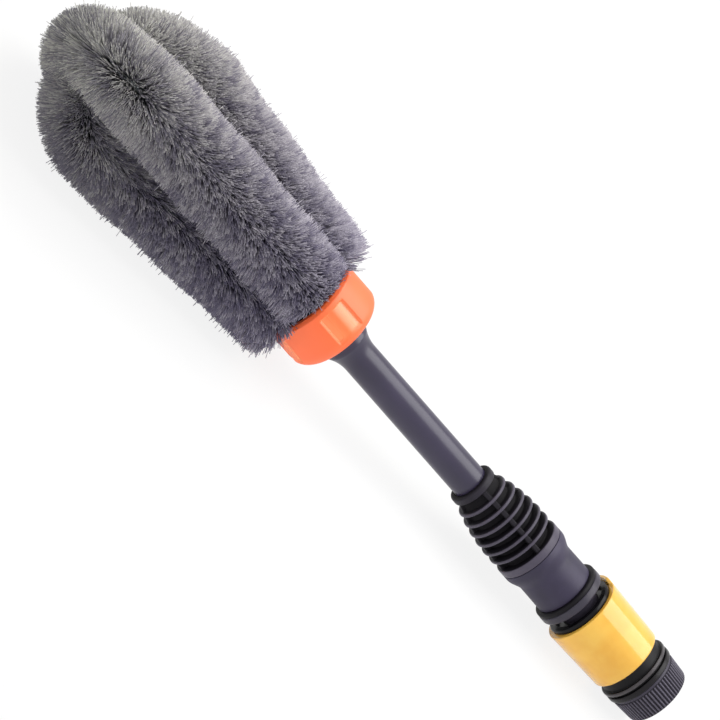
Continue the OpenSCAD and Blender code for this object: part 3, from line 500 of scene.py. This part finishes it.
def thumb_tab(s, a, r):
    """Moves the outer front edge forward by TAB_LEN within TAB_HALF of TAB_TURN, with sides TAB_SIDE wide."""
    off = np.abs((a - TAB_TURN + np.pi) % (2 * np.pi) - np.pi)
    on_tab = (s > TAB_FROM) & (r > TAB_INNER)
    return s + np.where(on_tab, TAB_LEN * smooth_step((TAB_HALF - off) / TAB_SIDE + 0.5), 0), r


tail = turned_piece("connector_tail_rings", [
    (4.3, TAIL_BORE, 0.2), (4.3, 5.6, 0.2), (5.1, 6.4, 0.3), (19.0, 6.4, 0.3), (19.0, 11.3, 0.3),
    (7.55, 11.3, 0.2), (7.55, 12.8, 0.3), (12.8, 12.8, 0.2), (12.8, 16.35, 0.7), (15.4, 16.35, 0.7),
    (15.4, 14.85, 0.3), (16.6, 14.85, 0.3), (16.6, RING_TOP, 0.5), (18.4, RING_TOP, 0.6), (18.4, 15.05, 0.2),
    (31.1, 15.05, 0.3), (31.1, 9.9, 0.2), (36.4, 9.9, 0.2), (36.4, TAIL_BORE, 0.2)])
# This depth paints the ring tops grey, a painted highlight, and the rear ring's less.
mark_depth(tail, lambda s, r: (RING_TOP - r) / RING_FALL + REAR_RING_DIMMER * (s < REAR_RING_END))
finish_piece(tail, tail_abs, "connector", "black_plastic", "connector_tail")

sleeve = turned_piece("release_sleeve_glossy", [
    (23.4, 15.2, 0.3), (23.4, 16.5, 0.8), (SLEEVE_FRONT, 17.5, 0.8), (SLEEVE_FRONT, 16.5, 0.3),
    (SLEEVE_FRONT, 15.7, 0), (SLEEVE_FRONT, 15.08, 0.25), (50.1, 13.85, 0.2), (46.5, 13.85, 0.2),
    (46.5, 15.2, 0.2)],
    turns=288, relief=thumb_tab)
finish_piece(sleeve, yellow_abs, "sleeve", "yellow_plastic", "release_sleeve")

# %% [markdown]
# The body's windows, its claws, the collet and the parts inside the handle keep their CAD solids: they
# sit in the dark between the other pieces, and their shape is already right. They only need a finish.

# %% Carried-over CAD pieces
BLACK_PIECES = ("connector_body", "hose_collet", "claw_1", "claw_2", "claw_3", "claw_4", "wire_hub")
HIDDEN_PIECES = {**dict.fromkeys(BLACK_PIECES, black_abs), "adaptor_o_ring": rubber, "head_gasket": rubber,
                 "collar_slip_washer": zinc}
for name, material in HIDDEN_PIECES.items():
    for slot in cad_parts[name].material_slots:
        slot.material = material
print("CAD pieces with a new finish:", len(HIDDEN_PIECES))

# %% [markdown]
# ## Handle
# The adaptor's ring, the washer, the smooth barrel, the grip and the stem follow each other up the handle.
# The barrel is straight and swells to the grip's foot in a soft S. The stem ends in a hollow curve, part of
# a large circle, and a plain neck that goes into the collar.

# %% Adaptor, washer, barrel and stem
WATER_R, SOCKET_R, WASHER_LOW, WASHER_TOP, BARREL_TOP = 4.55, 9.05, 64.2, 66.3, 101.4
SWELL_LOW, SWELL_LEN, BARREL_R, SWELL_RISE = 79.9, 7.4, 13.4, 2.15
STEM_LOW, STEM_R, STEM_BORE, FLARE_LOW, FLARE_LEN, FLARE_RISE = 78.7, 8.0, 5.6, 209.0, 9.5, 2.5
GRIP_LOW, GRIP_R, GRIP_BORE = 89.4, 15.55, 8.05

adaptor = turned_piece("hose_adaptor_ring", [
    (38.4, WATER_R, 0.2), (38.4, 6.8, 0.2), (39.4, 7.8, 0.2), (41.85, 7.8, 0.15), (41.85, 5.75, 0.15),
    (44.35, 5.75, 0.15), (44.35, 7.8, 0.15), (46.8, 7.8, 0.15), (47.8, 9.0, 0.2), (50.8, 9.0, 0.15),
    (50.8, 7.5, 0.15), (54.2, 7.5, 0.15), (54.2, 9.0, 0.15), (60.4, 9.0, 0.3), (60.4, 15.6, 1.0),
    (WASHER_LOW, 15.6, 0.8), (WASHER_LOW, 9.0, 0.2), (75.8, 9.0, 0.4), (75.8, WATER_R, 0.2)])
finish_piece(adaptor, painted_lit_grey_abs, "handle", "black_plastic", "hose_adaptor")

washer = turned_piece("adaptor_washer_soft", [
    (WASHER_LOW, SOCKET_R, 0.1), (WASHER_LOW, 15.5, 0.6), (WASHER_TOP, 15.5, 0.9),
    (WASHER_TOP, SOCKET_R, 0.1)])
finish_piece(washer, rubber, "handle", "rubber", "adaptor_washer")

swell = [(SWELL_LOW + SWELL_LEN * d, BARREL_R + SWELL_RISE * smooth_step(d), 0)
         for d in np.linspace(0.02, 0.98, 13)]
barrel = turned_piece("handle_barrel_smooth", [
    (WASHER_TOP, SOCKET_R, 0.2), (WASHER_TOP, 13.5, 0.3), *swell, (88.0, GRIP_R, 0), (GRIP_LOW, GRIP_R, 0.4),
    (GRIP_LOW, 10.2, 0.2), (BARREL_TOP, 10.2, 0.3), (BARREL_TOP, GRIP_BORE, 0.2), (STEM_LOW, GRIP_BORE, 0.2),
    (STEM_LOW, WATER_R, 0.2), (76.1, WATER_R, 0.2), (76.1, SOCKET_R, 0.2)])
finish_piece(barrel, rubbed_charcoal, "handle", "charcoal_plastic", "handle_barrel")

flare_r = (FLARE_LEN ** 2 + FLARE_RISE ** 2) / (2 * FLARE_RISE)
flare_s = np.linspace(0.01, 1, 16) * FLARE_LEN
flare = [(FLARE_LOW + d, STEM_R + flare_r - (flare_r ** 2 - d ** 2) ** 0.5, 0) for d in flare_s]
stem = turned_piece("stem_tube_smooth", [
    (STEM_LOW, STEM_BORE, 0.2), (STEM_LOW, STEM_R, 0.3), (208.2, STEM_R, 0), *flare, (219.5, 10.5, 0),
    (227.8, 10.5, 0.2), (227.8, 16.4, 0.3), (232.0, 16.4, 0.3), (232.0, STEM_BORE, 0.3)])
finish_piece(stem, charcoal, "handle", "charcoal_plastic", "stem_tube")

# %% [markdown]
# The ribbed grip tapers up to the stem. Six thin ribs stand over grooves that get deeper towards the foot,
# and four webs tie them together. The ribs are part of the outline. The webs are a relief: near four angles
# the radius is lifted to a line that runs just under the tops of the ribs.

# %% Ribbed grip
GRIP_TOP, RIB_LOW, RIB_TOP, GRIP_BEND, GRIP_SEAT = 132.6, 93.4, 129.0, 101.0, 10.25
GRIP_SWELL, GROOVE, DEEPEN, RIBS, RIB_T = 5.0, 2.0, 2.0, 6, 1.6
RIB_SPREAD, CREST_IN, CREST_FALL, TOP_RING_DARKER, SLACK = 0.25, 0.1, 0.12, 0.25, 0.1
WEBS, WEB_HALF, WEB_EDGE, WEB_DROP, WEB_FILL = 4, 1.0, 0.3, 0.9, 0.97
GRIP_TOP_R = GRIP_R - GRIP_SWELL
grip_arc = ((RIB_TOP - GRIP_BEND) ** 2 + GRIP_SWELL ** 2) / (2 * GRIP_SWELL)


def grip_radius(s):
    """Straight foot, then an arc: R - (A - sqrt(A^2 - d^2)), where d is the distance past the bend."""
    d = np.clip(s - GRIP_BEND, 0, RIB_TOP - GRIP_BEND)
    return GRIP_R - (grip_arc - np.sqrt(grip_arc ** 2 - d ** 2))


def web_relief(s, a, r):
    """Lifts r by WEB_FILL of the way to a line WEB_DROP under the ribs, within WEB_HALF of a web's middle and
    less and less over WEB_EDGE."""
    side = np.abs(r * np.sin(a % (2 * np.pi / WEBS) - np.pi / WEBS))
    share = np.clip((WEB_HALF + WEB_EDGE / 2 - side) / WEB_EDGE, 0, 1)
    line = grip_radius(s) - WEB_DROP
    lifted = r + WEB_FILL * share * np.maximum(line - r, 0)
    on_ribs = (s > RIB_LOW - SLACK) & (s < RIB_TOP + SLACK) & (r > GRIP_BORE + SLACK)
    return s, np.where(on_ribs, lifted, r)


def groove_floor(s):
    """Radius of the grooves: GROOVE below the ribs at the top ring, and DEEPEN more at the foot."""
    return grip_radius(s) - GROOVE - DEEPEN * (grip_radius(s) - GRIP_R + GRIP_SWELL) / GRIP_SWELL


rib_at = RIB_LOW + (RIB_TOP - RIB_LOW) / (RIBS + 1) * np.arange(1, RIBS + 1)
ribs = [row for m in rib_at for row in (
    (m - RIB_T / 2 - RIB_SPREAD, groove_floor(m), 0.5), (m - RIB_T / 2 + CREST_IN, grip_radius(m), 0.6),
    (m + RIB_T / 2 - CREST_IN, grip_radius(m) - CREST_FALL, 0.6),
    (m + RIB_T / 2 + RIB_SPREAD, groove_floor(m), 0.5))]
# Angles close together at both sides of each web, besides the even ones.
web_turns = np.arange(WEBS)[:, None] * 2 * np.pi / WEBS + np.pi / WEBS + np.radians((-6, -5, -4, 4, 5, 6))
grip_turns = np.unique(np.concatenate((np.linspace(0, 2 * np.pi, 160, endpoint=False), web_turns.ravel())))
grip = turned_piece("ribbed_grip_soft", [
    (GRIP_LOW, GRIP_SEAT, 0.2), (GRIP_LOW, GRIP_R, 0.8), (RIB_LOW, GRIP_R, 0.6),
    (RIB_LOW, groove_floor(RIB_LOW), 0.4), *ribs, (RIB_TOP, GRIP_TOP_R - GROOVE + 0.06, 0.2),
    (RIB_TOP, GRIP_TOP_R, 0.5), (GRIP_TOP, GRIP_TOP_R, 1.2), (GRIP_TOP, GRIP_BORE, 0.2),
    (BARREL_TOP, GRIP_BORE, 0.05), (BARREL_TOP, GRIP_SEAT, 0.1)], relief=web_relief, angles=grip_turns)
# This depth paints the grooves black, a painted shade, and paints the top ring darker.
mark_depth(grip, lambda s, r: (grip_radius(s) - r) / GROOVE + TOP_RING_DARKER * (s > RIB_TOP - SLACK))
finish_piece(grip, grip_rubber, "handle", "rubber", "ribbed_grip")

# %% [markdown]
# ## Collar nut
# The orange union nut has four finger pads sunk into its wall. A pad's floor is a low roof with two flat
# slopes, of which one catches the light, and its edges are soft, the gentlest at the hose end. This is
# again a relief: a pad's depth is the product of one soft window along the axis and one round it.

# %% Collar nut with its finger pads
COLLAR_LOW, COLLAR_FLOOR, COLLAR_TOP = 223.9, 226.7, 247.1
COLLAR_R, COLLAR_BORE, COLLAR_NECK = 22.2, 18.5, 10.8
PADS, PAD_LOW, PAD_TOP, PAD_HALF, PAD_DEPTH, PAD_RIDGE = 4, 227.8, 243.6, 7.2, 1.5, 1.25
PAD_RAMP, PAD_EDGE, RIDGE_ROUND, PAD_INNER = 2.6, 0.9, 0.6, 20.3
BEND_AT, BEND_R, MARK_END = 230.4, 6.5, 244.0


def finger_pads(s, a, r):
    """Lowers the wall by PAD_DEPTH times smooth steps: up from PAD_LOW over PAD_RAMP, down to PAD_TOP over
    PAD_EDGE, and in from PAD_HALF to either side of each pad's middle. The floor is a low roof: it rises
    evenly from both sides by PAD_RIDGE to a ridge, rounded by RIDGE_ROUND."""
    side = np.abs(COLLAR_R * (a % (2 * np.pi / PADS) - np.pi / PADS))
    along = smooth_step((s - PAD_LOW) / PAD_RAMP) * smooth_step((PAD_TOP - s) / PAD_EDGE)
    window = along * smooth_step((PAD_HALF - side) / PAD_EDGE)
    floor_depth = PAD_DEPTH - PAD_RIDGE * np.clip(1 - np.hypot(side, RIDGE_ROUND) / PAD_HALF, 0, 1)
    return s, np.where(r > PAD_INNER, r - floor_depth * window, r)


def collar_wall(s):
    """Radius of the wall without its pads: a quarter circle of radius BEND_R up to BEND_AT, then straight."""
    return COLLAR_R - BEND_R + np.sqrt(BEND_R ** 2 - np.clip(BEND_AT - s, 0, BEND_R) ** 2)


# Rows of the wall, finer where the pads end in a steep edge.
wall_s = np.concatenate((np.arange(230.6, 242.3, 0.65), np.arange(242.5, 243.8, 0.13)))
bend_s = BEND_AT + BEND_R * np.sin(np.radians(np.linspace(-86, 0, 22)))
collar = turned_piece("collar_nut_padded", [
    (COLLAR_LOW, COLLAR_NECK, 0.3), *[(s, collar_wall(s), 0) for s in bend_s],
    *[(s, COLLAR_R, 0) for s in wall_s], (244.3, COLLAR_R, 0), (245.7, COLLAR_R, 0.4),
    (COLLAR_TOP, 20.8, 0.4), (COLLAR_TOP, COLLAR_BORE, 0.3), (COLLAR_FLOOR, COLLAR_BORE, 0.3),
    (COLLAR_FLOOR, COLLAR_NECK, 0.3)],
    turns=480, relief=finger_pads)
# This depth paints the finger pads paler, a painted highlight.
mark_depth(collar, lambda s, r: (collar_wall(s) - r) / PAD_DEPTH * (s < MARK_END))
finish_piece(collar, collar_abs, "collar", "orange_plastic", "collar_nut")

# %% [markdown]
# ## Wire loops
# Each loop is a pair of wires, twisted together so that they grip the filaments, then bent into a hairpin:
# two straight arms that lean outwards, joined by an arch over the tip. Its line is written once, as a
# function of the distance along it, and both the wire and the bristles are built on it.

# %% The line of a wire loop
ARM_FOOT, ARM_FOOT_R, ARCH_R = 247.1, 13.5, 24.0
LOOPS = {"outer": {"turn": np.radians(135), "centre": 370.1},
         "inner": {"turn": np.radians(45), "centre": 362.3}}
for loop in LOOPS.values():
    span = loop["centre"] - ARM_FOOT
    loop["lean"] = np.arcsin(ARCH_R / np.hypot(ARM_FOOT_R, span)) - np.arctan(ARM_FOOT_R / span)
    loop["arm"] = (span - ARCH_R * np.sin(loop["lean"])) / np.cos(loop["lean"])
    loop["arch"] = ARCH_R * (np.pi + 2 * loop["lean"])


def loop_frame(loop, s):
    """Point of a loop's line at distance s from its first foot, with its tangent and its outward normal,
    as (across, station) pairs. Arm: foot + s (sin l, cos l). Arch: centre + R (cos a, sin a), where a runs
    from -l to 180 + l degrees. The second arm mirrors the first."""
    total = 2 * loop["arm"] + loop["arch"]
    side = np.where(s > total / 2, -1.0, 1.0)
    m = np.where(side > 0, s, total - s)
    on_arm = m < loop["arm"]
    a = np.where(on_arm, 0, (m - loop["arm"]) / ARCH_R) - loop["lean"]
    across = np.where(on_arm, ARM_FOOT_R + m * np.sin(loop["lean"]), ARCH_R * np.cos(a))
    station = np.where(on_arm, ARM_FOOT + m * np.cos(loop["lean"]), loop["centre"] + ARCH_R * np.sin(a))
    point = np.stack((side * across, station), -1)
    normal = np.stack((side * np.cos(a), np.sin(a)), -1)
    tangent = np.stack((-np.sin(a), side * np.cos(a)), -1)
    return point, tangent, normal


def from_loop(loop, across, through, station):
    """Turns a point of a loop's own plane (across, through, station) into the part's frame."""
    c, d = np.cos(loop["turn"]), np.sin(loop["turn"])
    return np.stack((-station, across * d + through * c, across * c - through * d), -1)


for name, loop in LOOPS.items():
    print(name, "loop:", round(2 * loop["arm"] + loop["arch"], 1), "mm of wire")

# %% Twisted wires
STRAND_R, STRAND_SIDES, TWIST_PITCH, TWIST_STEP, HUB_SEAT = 0.94, 8, 7.0, 0.7, -10.8


def tube_faces(rings, sides):
    """Quads of a tube whose rings follow each other, and the fans of triangles that close its two ends."""
    quads = closed_grid(rings, sides)[:(rings - 1) * sides]
    fan = np.stack((np.zeros(sides - 2, int), np.arange(1, sides - 1), np.arange(2, sides)), -1)
    return quads, np.concatenate((fan, fan[:, ::-1] + (rings - 1) * sides))


def twisted_wire(name, loop):
    """Two round strands, each at STRAND_R from the loop's line and turning once per TWIST_PITCH. A point on
    a strand's skin is line + STRAND_R (n cos w + b sin w) + STRAND_R (n cos v + b sin v)."""
    total = 2 * loop["arm"] + loop["arch"]
    s = np.arange(HUB_SEAT, total - HUB_SEAT, TWIST_STEP)
    inside = np.clip(s, 0, total)
    point, tangent, normal = loop_frame(loop, inside)
    point = point + (s - inside)[:, None] * tangent
    v = np.linspace(0, 2 * np.pi, STRAND_SIDES, endpoint=False)
    quads, caps = (faces[:, ::-1] for faces in tube_faces(len(s), STRAND_SIDES))
    points = []
    for strand in (0, 1):
        w = 2 * np.pi * s / TWIST_PITCH + strand * np.pi
        out = STRAND_R * (np.cos(w)[:, None] + np.cos(v)[None])
        through = STRAND_R * (np.sin(w)[:, None] + np.sin(v)[None])
        skin = from_loop(loop, point[:, :1] + out * normal[:, :1], through,
                         point[:, 1:] + out * normal[:, 1:])
        points.append(skin.reshape(-1, 3))
    second = len(points[0])
    return make_piece(name, np.concatenate(points), quads, quads + second, caps, caps + second)


for name, loop in LOOPS.items():
    wire = twisted_wire("wire_" + name + "_twisted", loop)
    finish_piece(wire, zinc, "handle", "steel", "wire_" + name + "_loop")

# %% [markdown]
# ## Sleeve spring
# A coil spring under the yellow sleeve pushes it forward.

# %% Coil spring
SPRING_LOW, SPRING_LEN, SPRING_R, SPRING_WIRE_R = 31.8, 13.9, 14.45, 0.55
COILS, COIL_STEPS, COIL_SIDES = 5, 40, 10

spring_turn = np.linspace(0, COILS * 2 * np.pi, COILS * COIL_STEPS + 1)[:, None]
spring_s = SPRING_LOW + SPRING_LEN * spring_turn / spring_turn[-1]
coil_v = np.linspace(0, 2 * np.pi, COIL_SIDES, endpoint=False)
coil_r = SPRING_R + SPRING_WIRE_R * np.cos(coil_v)
coil = np.stack((-(spring_s + SPRING_WIRE_R * np.sin(coil_v)), coil_r * np.sin(spring_turn),
                 coil_r * np.cos(spring_turn)), -1)
spring = make_piece("sleeve_spring_coil", coil.reshape(-1, 3), *tube_faces(len(spring_s), COIL_SIDES))
finish_piece(spring, zinc, "connector", "steel", "sleeve_spring")
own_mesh(spring)

# %% [markdown]
# ## Bristles
# The filaments are stiff nylon, crimped into the twist of the wire and cut to a soft, frayed sausage. Hair
# particles would not survive an export, so each filament is a straight rod of only four triangles, from
# a point in the wire to a three-cornered cut end. It stops where the other loop's bristles begin. Each arm
# has its own cut and its own tone, which paints light and shade: the right arm paler, the left darker. Beside
# the collar the front arm's bristles are pushed away from it and the others hang over it, and over the arch
# the tufts are looser and part at the front.

# %% How far a filament can reach
REACH_FROM, REACH_STEP, CORE_R = 2.0, 0.5, 6.0


def distance_to_line(loop, across, through, station):
    """Distance of a point from a loop's line: from the arch where the point is past the arms' ends, else from
    the arm."""
    a, d = np.abs(across), station - loop["centre"]
    sine, cosine = np.sin(loop["lean"]), np.cos(loop["lean"])
    past = a * sine + d * cosine > 0
    from_arch = np.hypot(a, d) - ARCH_R
    from_arm = a * cosine - d * sine - ARCH_R
    return np.hypot(through, np.where(past, from_arch, from_arm))


def free_reach(loop, other, s, turn, longest, overlap):
    """Longest reach up to longest at which a filament is nearer to its own line than to the other loop's,
    with some overlap, and stays on its own side of the handle's axis and out of the arch's core."""
    steps = np.arange(REACH_FROM, longest + REACH_STEP, REACH_STEP)
    point, _, normal = loop_frame(loop, s)
    out, through = steps * np.cos(turn)[:, None], steps * np.sin(turn)[:, None]
    across = point[:, :1] + out * normal[:, :1]
    station = point[:, 1:] + out * normal[:, 1:]
    on_arm = (np.minimum(s, 2 * loop["arm"] + loop["arch"] - s) < loop["arm"])[:, None]
    blocked = distance_to_line(other, through, across, station) < steps - overlap
    blocked |= on_arm & (across * np.sign(point[:, :1]) < -overlap / 2)
    blocked |= ~on_arm & (np.hypot(across, station - loop["centre"]) < CORE_R)
    first = np.where(blocked.any(1), blocked.argmax(1), len(steps) - 1)
    return steps[first]


print("reach towards the axis at mid arm, mm:", free_reach(
    LOOPS["outer"], LOOPS["inner"], np.array([60.0]), np.array([np.pi]), 24.0, 0.0))

# %% Where the filaments lie
FILAMENTS, FOOT_S, ROOT_R, SHORTEST, OVERLAP = 48500, 2.5, 1.0, 2.5, 1.2
# Tufts: size, radius at which it counts, range of a tuft's middle and of the pull to it, jitter of a tip.
TUFT_MM, TUFT_R, TUFT_MIDDLE, PULL, TIP_MM, TIP_TURN = 2.6, 14.0, (0.2, 0.8), (0.3, 0.8), 0.7, 0.045
LOOSER, LOOSER_BEFORE, LOOSER_RUN = 1.6, 12.0, 14.0
PARTING_TURN, PARTING_FADE, PARTING_RUN, LEAN_FADE, CUT_BEFORE, CUT_RUN = 0.24, 0.5, 8.0, 6.0, 8.0, 16.0
# Cut ends: a slow wave, fraying, and strays that stand out, more of them at the foot.
WAVE_MM, WAVE_S, FRAY_MM, FRAY_POWER = 0.4, 7.0, 3.6, 1.4
STRAYS, FOOT_STRAYS, STRAY_FADE, STRAY_MM = 0.01, 0.03, 5.0, 2.5
TUFTS_ROUND = int(2 * np.pi * TUFT_R / TUFT_MM)


def filament_lines(rng, loop, other, second_half, cut, foot_lean, parting):
    """Roots (s, a) and tips (s', a') of half a loop's filaments, where a point is
    line(s) + r (n cos a + b sin a). A tip is drawn towards the middle of its tuft, a cell of a grid in s and
    a, and jittered, 1 + LOOSER times as much on the arch. It reaches cut[0] on the arm and cut[1] on the
    arch, leans along the arm by foot_lean at the foot, and on the arch is combed away from a = PARTING_TURN
    by up to the angle parting."""
    half = loop["arm"] + loop["arch"] / 2
    s = rng.uniform(FOOT_S, half, FILAMENTS)
    turn = rng.uniform(-np.pi, np.pi, FILAMENTS)
    off = turn - PARTING_TURN
    comb = np.sign(off) * np.exp(-np.abs(off) / PARTING_FADE) * smooth_step((s - loop["arm"]) / PARTING_RUN)
    turn = turn + parting * comb
    tuft = (np.floor(s / TUFT_MM).astype(int),
            np.floor((turn + np.pi) / (2 * np.pi) * TUFTS_ROUND).astype(int) % TUFTS_ROUND)
    middle = rng.uniform(*TUFT_MIDDLE, (2, int(half / TUFT_MM) + 2, TUFTS_ROUND))
    tuft_s = (tuft[0] + middle[0][tuft]) * TUFT_MM
    tuft_turn = (tuft[1] + middle[1][tuft]) * 2 * np.pi / TUFTS_ROUND - np.pi
    pull = rng.uniform(*PULL, FILAMENTS)
    loose = 1 + LOOSER * smooth_step((s - loop["arm"] + LOOSER_BEFORE) / LOOSER_RUN)
    lean = foot_lean * np.exp(-s / LEAN_FADE)
    tip_s = s + pull * (tuft_s - s) + rng.normal(0, TIP_MM, FILAMENTS) * loose + lean
    tip_turn = turn + pull * (tuft_turn - turn) + rng.normal(0, TIP_TURN, FILAMENTS) * loose

    wanted = cut[0] + (cut[1] - cut[0]) * smooth_step((s - loop["arm"] + CUT_BEFORE) / CUT_RUN)
    uneven = WAVE_MM * np.sin(s / WAVE_S + 2 * turn) - FRAY_MM * rng.uniform(0, 1, FILAMENTS) ** FRAY_POWER
    stray = rng.uniform(0, 1, FILAMENTS) < STRAYS + FOOT_STRAYS * np.exp(-s / STRAY_FADE)
    wanted += np.where(stray, rng.uniform(0.0, STRAY_MM, FILAMENTS), uneven)
    room = free_reach(loop, other, (2 * half - s) if second_half else s, turn, max(cut), OVERLAP)
    reach = np.where(room >= max(cut) - REACH_STEP, wanted, np.minimum(room, wanted))
    reach = np.maximum(reach - rng.uniform(0, REACH_STEP, FILAMENTS), SHORTEST)

    at_s = np.stack((s, tip_s), 1)
    at_turn = np.stack((turn, tip_turn), 1)
    at_r = np.stack((np.full(FILAMENTS, ROOT_R), reach), 1)
    inside = np.maximum(at_s, 0)
    point, tangent, normal = loop_frame(loop, (2 * half - inside) if second_half else inside)
    point = point + ((at_s - inside) * (-1 if second_half else 1))[..., None] * tangent
    out = at_r * np.cos(at_turn)
    lines = from_loop(loop, point[..., 0] + out * normal[..., 0], at_r * np.sin(at_turn),
                      point[..., 1] + out * normal[..., 1])
    return lines, s / half, tuft, middle.shape[1:]


print("tufts round a loop's line:", TUFTS_ROUND)

# %% Rods on those lines
ROD_R, ROD_FACES = 0.16, np.array(((1, 2, 3), (0, 2, 1), (0, 3, 2), (0, 1, 3)))
ROD_U, ROD_V = np.array((0.5, 0.1, 0.5, 0.9)), np.array((0.02, 0.94, 0.98, 0.94))
BLOCKS, LEVELS, BLOCK_BLEND, TUFT_TONE, OWN_TONE = 16, 16, 0.5, 0.5, 0.2
OFF_AXIS = np.array((1.0, 0.03, 0.02))


def filaments(name, loop, other, second_half, cut, foot_lean, parting, tone, seed):
    """A rod for each line, from a point at its root to a triangle of radius ROD_R at its tip. Its lightness,
    tone plus a chance that its tuft shares and a smaller one of its own, picks one of LEVELS columns of the
    map, in the block of columns that stands for its place along the loop."""
    rng = np.random.default_rng(seed)
    lines, place, tuft, tufts = filament_lines(rng, loop, other, second_half, cut, foot_lean, parting)
    lie = lines[:, 1] - lines[:, 0]
    lie /= np.linalg.norm(lie, axis=1, keepdims=True)
    one = np.cross(lie, OFF_AXIS)
    one /= np.linalg.norm(one, axis=1, keepdims=True)
    two = np.cross(lie, one)
    spin = rng.uniform(0, 2 * np.pi, FILAMENTS)[:, None] + np.arange(3) * 2 * np.pi / 3
    ring = np.cos(spin)[..., None] * one[:, None] + np.sin(spin)[..., None] * two[:, None]
    points = np.concatenate((lines[:, :1], lines[:, 1:] + ROD_R * ring), 1)
    rods = (ROD_FACES + 4 * np.arange(FILAMENTS)[:, None, None]).reshape(-1, 3)
    piece = make_piece(name, points.reshape(-1, 3), rods)

    block = np.clip(place * BLOCKS + rng.normal(0, BLOCK_BLEND, FILAMENTS), 0, BLOCKS - 1).astype(int)
    lightness = tone + rng.uniform(-TUFT_TONE, TUFT_TONE, tufts)[tuft] + rng.normal(0, OWN_TONE, FILAMENTS)
    column = block * LEVELS + np.clip(lightness * LEVELS, 0, LEVELS - 1).astype(int)
    u = (column[:, None] + ROD_U) / (BLOCKS * LEVELS)
    at_vertex = np.stack((u, np.broadcast_to(ROD_V, u.shape)), -1).reshape(-1, 2)
    corner = np.empty(len(piece.data.loops), np.int32)
    piece.data.loops.foreach_get("vertex_index", corner)
    uv_map = piece.data.uv_layers.new(name="OFBake")
    uv_map.data.foreach_set("uv", at_vertex[corner].astype(np.float32).ravel())
    return piece


print("triangles of half a loop:", len(ROD_FACES) * FILAMENTS)

# %% [markdown]
# Nylon filament is slightly translucent, and no two filaments are quite the same grey. The colour is painted
# darker at the roots and paler at the cut tips: painted shade deep in the brush and painted light on the
# tips.
# The map laid on the rods runs from root to tip in one direction
# and along the loop in the other, so the finish can shade both. It moves along the loop in blocks, and inside
# a block the lightness rises from column to column.

# %% Nylon filament
def nylon_filament(name):
    """Grey from a ramp root to tip, painted shade at the root and painted light at the tip, tinted by a ramp
    from the collar to the tip of the head and multiplied by a ramp across each block of the map's columns,
    whose place in the block is the fraction of BLOCKS u."""
    made, tree, output = new_material(name)
    where = add(tree, "ShaderNodeUVMap", uv_map="OFBake")
    parts = add(tree, "ShaderNodeSeparateXYZ", links={"Vector": where.outputs["UV"]})
    # Painted shade at the roots, painted light at the tips.
    length = add(tree, "ShaderNodeValToRGB", links={"Fac": parts.outputs["Y"]},
                 stops=[(0.0, "#8c8990"), (1.0, "#dfdee0"), (0.55, "#b3b1b6"), (0.85, "#c9c8cc")])
    along = add(tree, "ShaderNodeValToRGB", links={"Fac": parts.outputs["X"]},
                stops=[(0.0, "#ddd7f1"), (1.0, "#fafaf7"), (0.55, "#ebe7f5")])
    level = add(tree, "ShaderNodeMath", operation="MULTIPLY", values={1: BLOCKS},
                links={0: parts.outputs["X"]})
    level = add(tree, "ShaderNodeMath", operation="FRACT", links={0: level.outputs[0]})
    light = add(tree, "ShaderNodeValToRGB", links={"Fac": level.outputs[0]},
                stops=[(0.0, "#94919d"), (1.0, "#f6f6ec")])
    tint = add(tree, "ShaderNodeMix", data_type="RGBA", blend_type="MULTIPLY", values={0: 1.0},
               links={6: length.outputs["Color"], 7: along.outputs["Color"]})
    tint = add(tree, "ShaderNodeMix", data_type="RGBA", blend_type="MULTIPLY", values={0: 1.0},
               links={6: tint.outputs[2], 7: light.outputs["Color"]})
    body = add(tree, "ShaderNodeBsdfPrincipled", links={"Base Color": tint.outputs[2]},
               values={"IOR": 1.53, "Roughness": 0.42, "Specular IOR Level": 0.4})
    tree.links.new(body.outputs[0], output.inputs["Surface"])
    return made


nylon = nylon_filament("cut nylon filament")
# Each row: piece, its loop, the other loop, second half or first, cut on arm and arch (mm), lean at the foot
# (mm), parting (radians), tone and seed. The tone is painted light and shade: the right arm is painted paler
# and the left darker.
HALVES = (("bristles_back", "outer", "inner", False, (21.0, 21.0), -3.0, 0.0, 0.55, 11),
          ("bristles_front", "outer", "inner", True, (21.0, 21.0), 9.0, 0.06, 0.52, 12),
          ("bristles_right", "inner", "outer", False, (22.0, 18.8), -4.0, 0.0, 0.72, 13),
          ("bristles_left", "inner", "outer", True, (21.0, 21.8), -4.0, 0.0, 0.2, 14))
for name, own, other, *rest in HALVES:
    finish_piece(filaments(name, LOOPS[own], LOOPS[other], *rest), nylon, "handle", "bristles",
                 "bristle_" + own + "_loop")
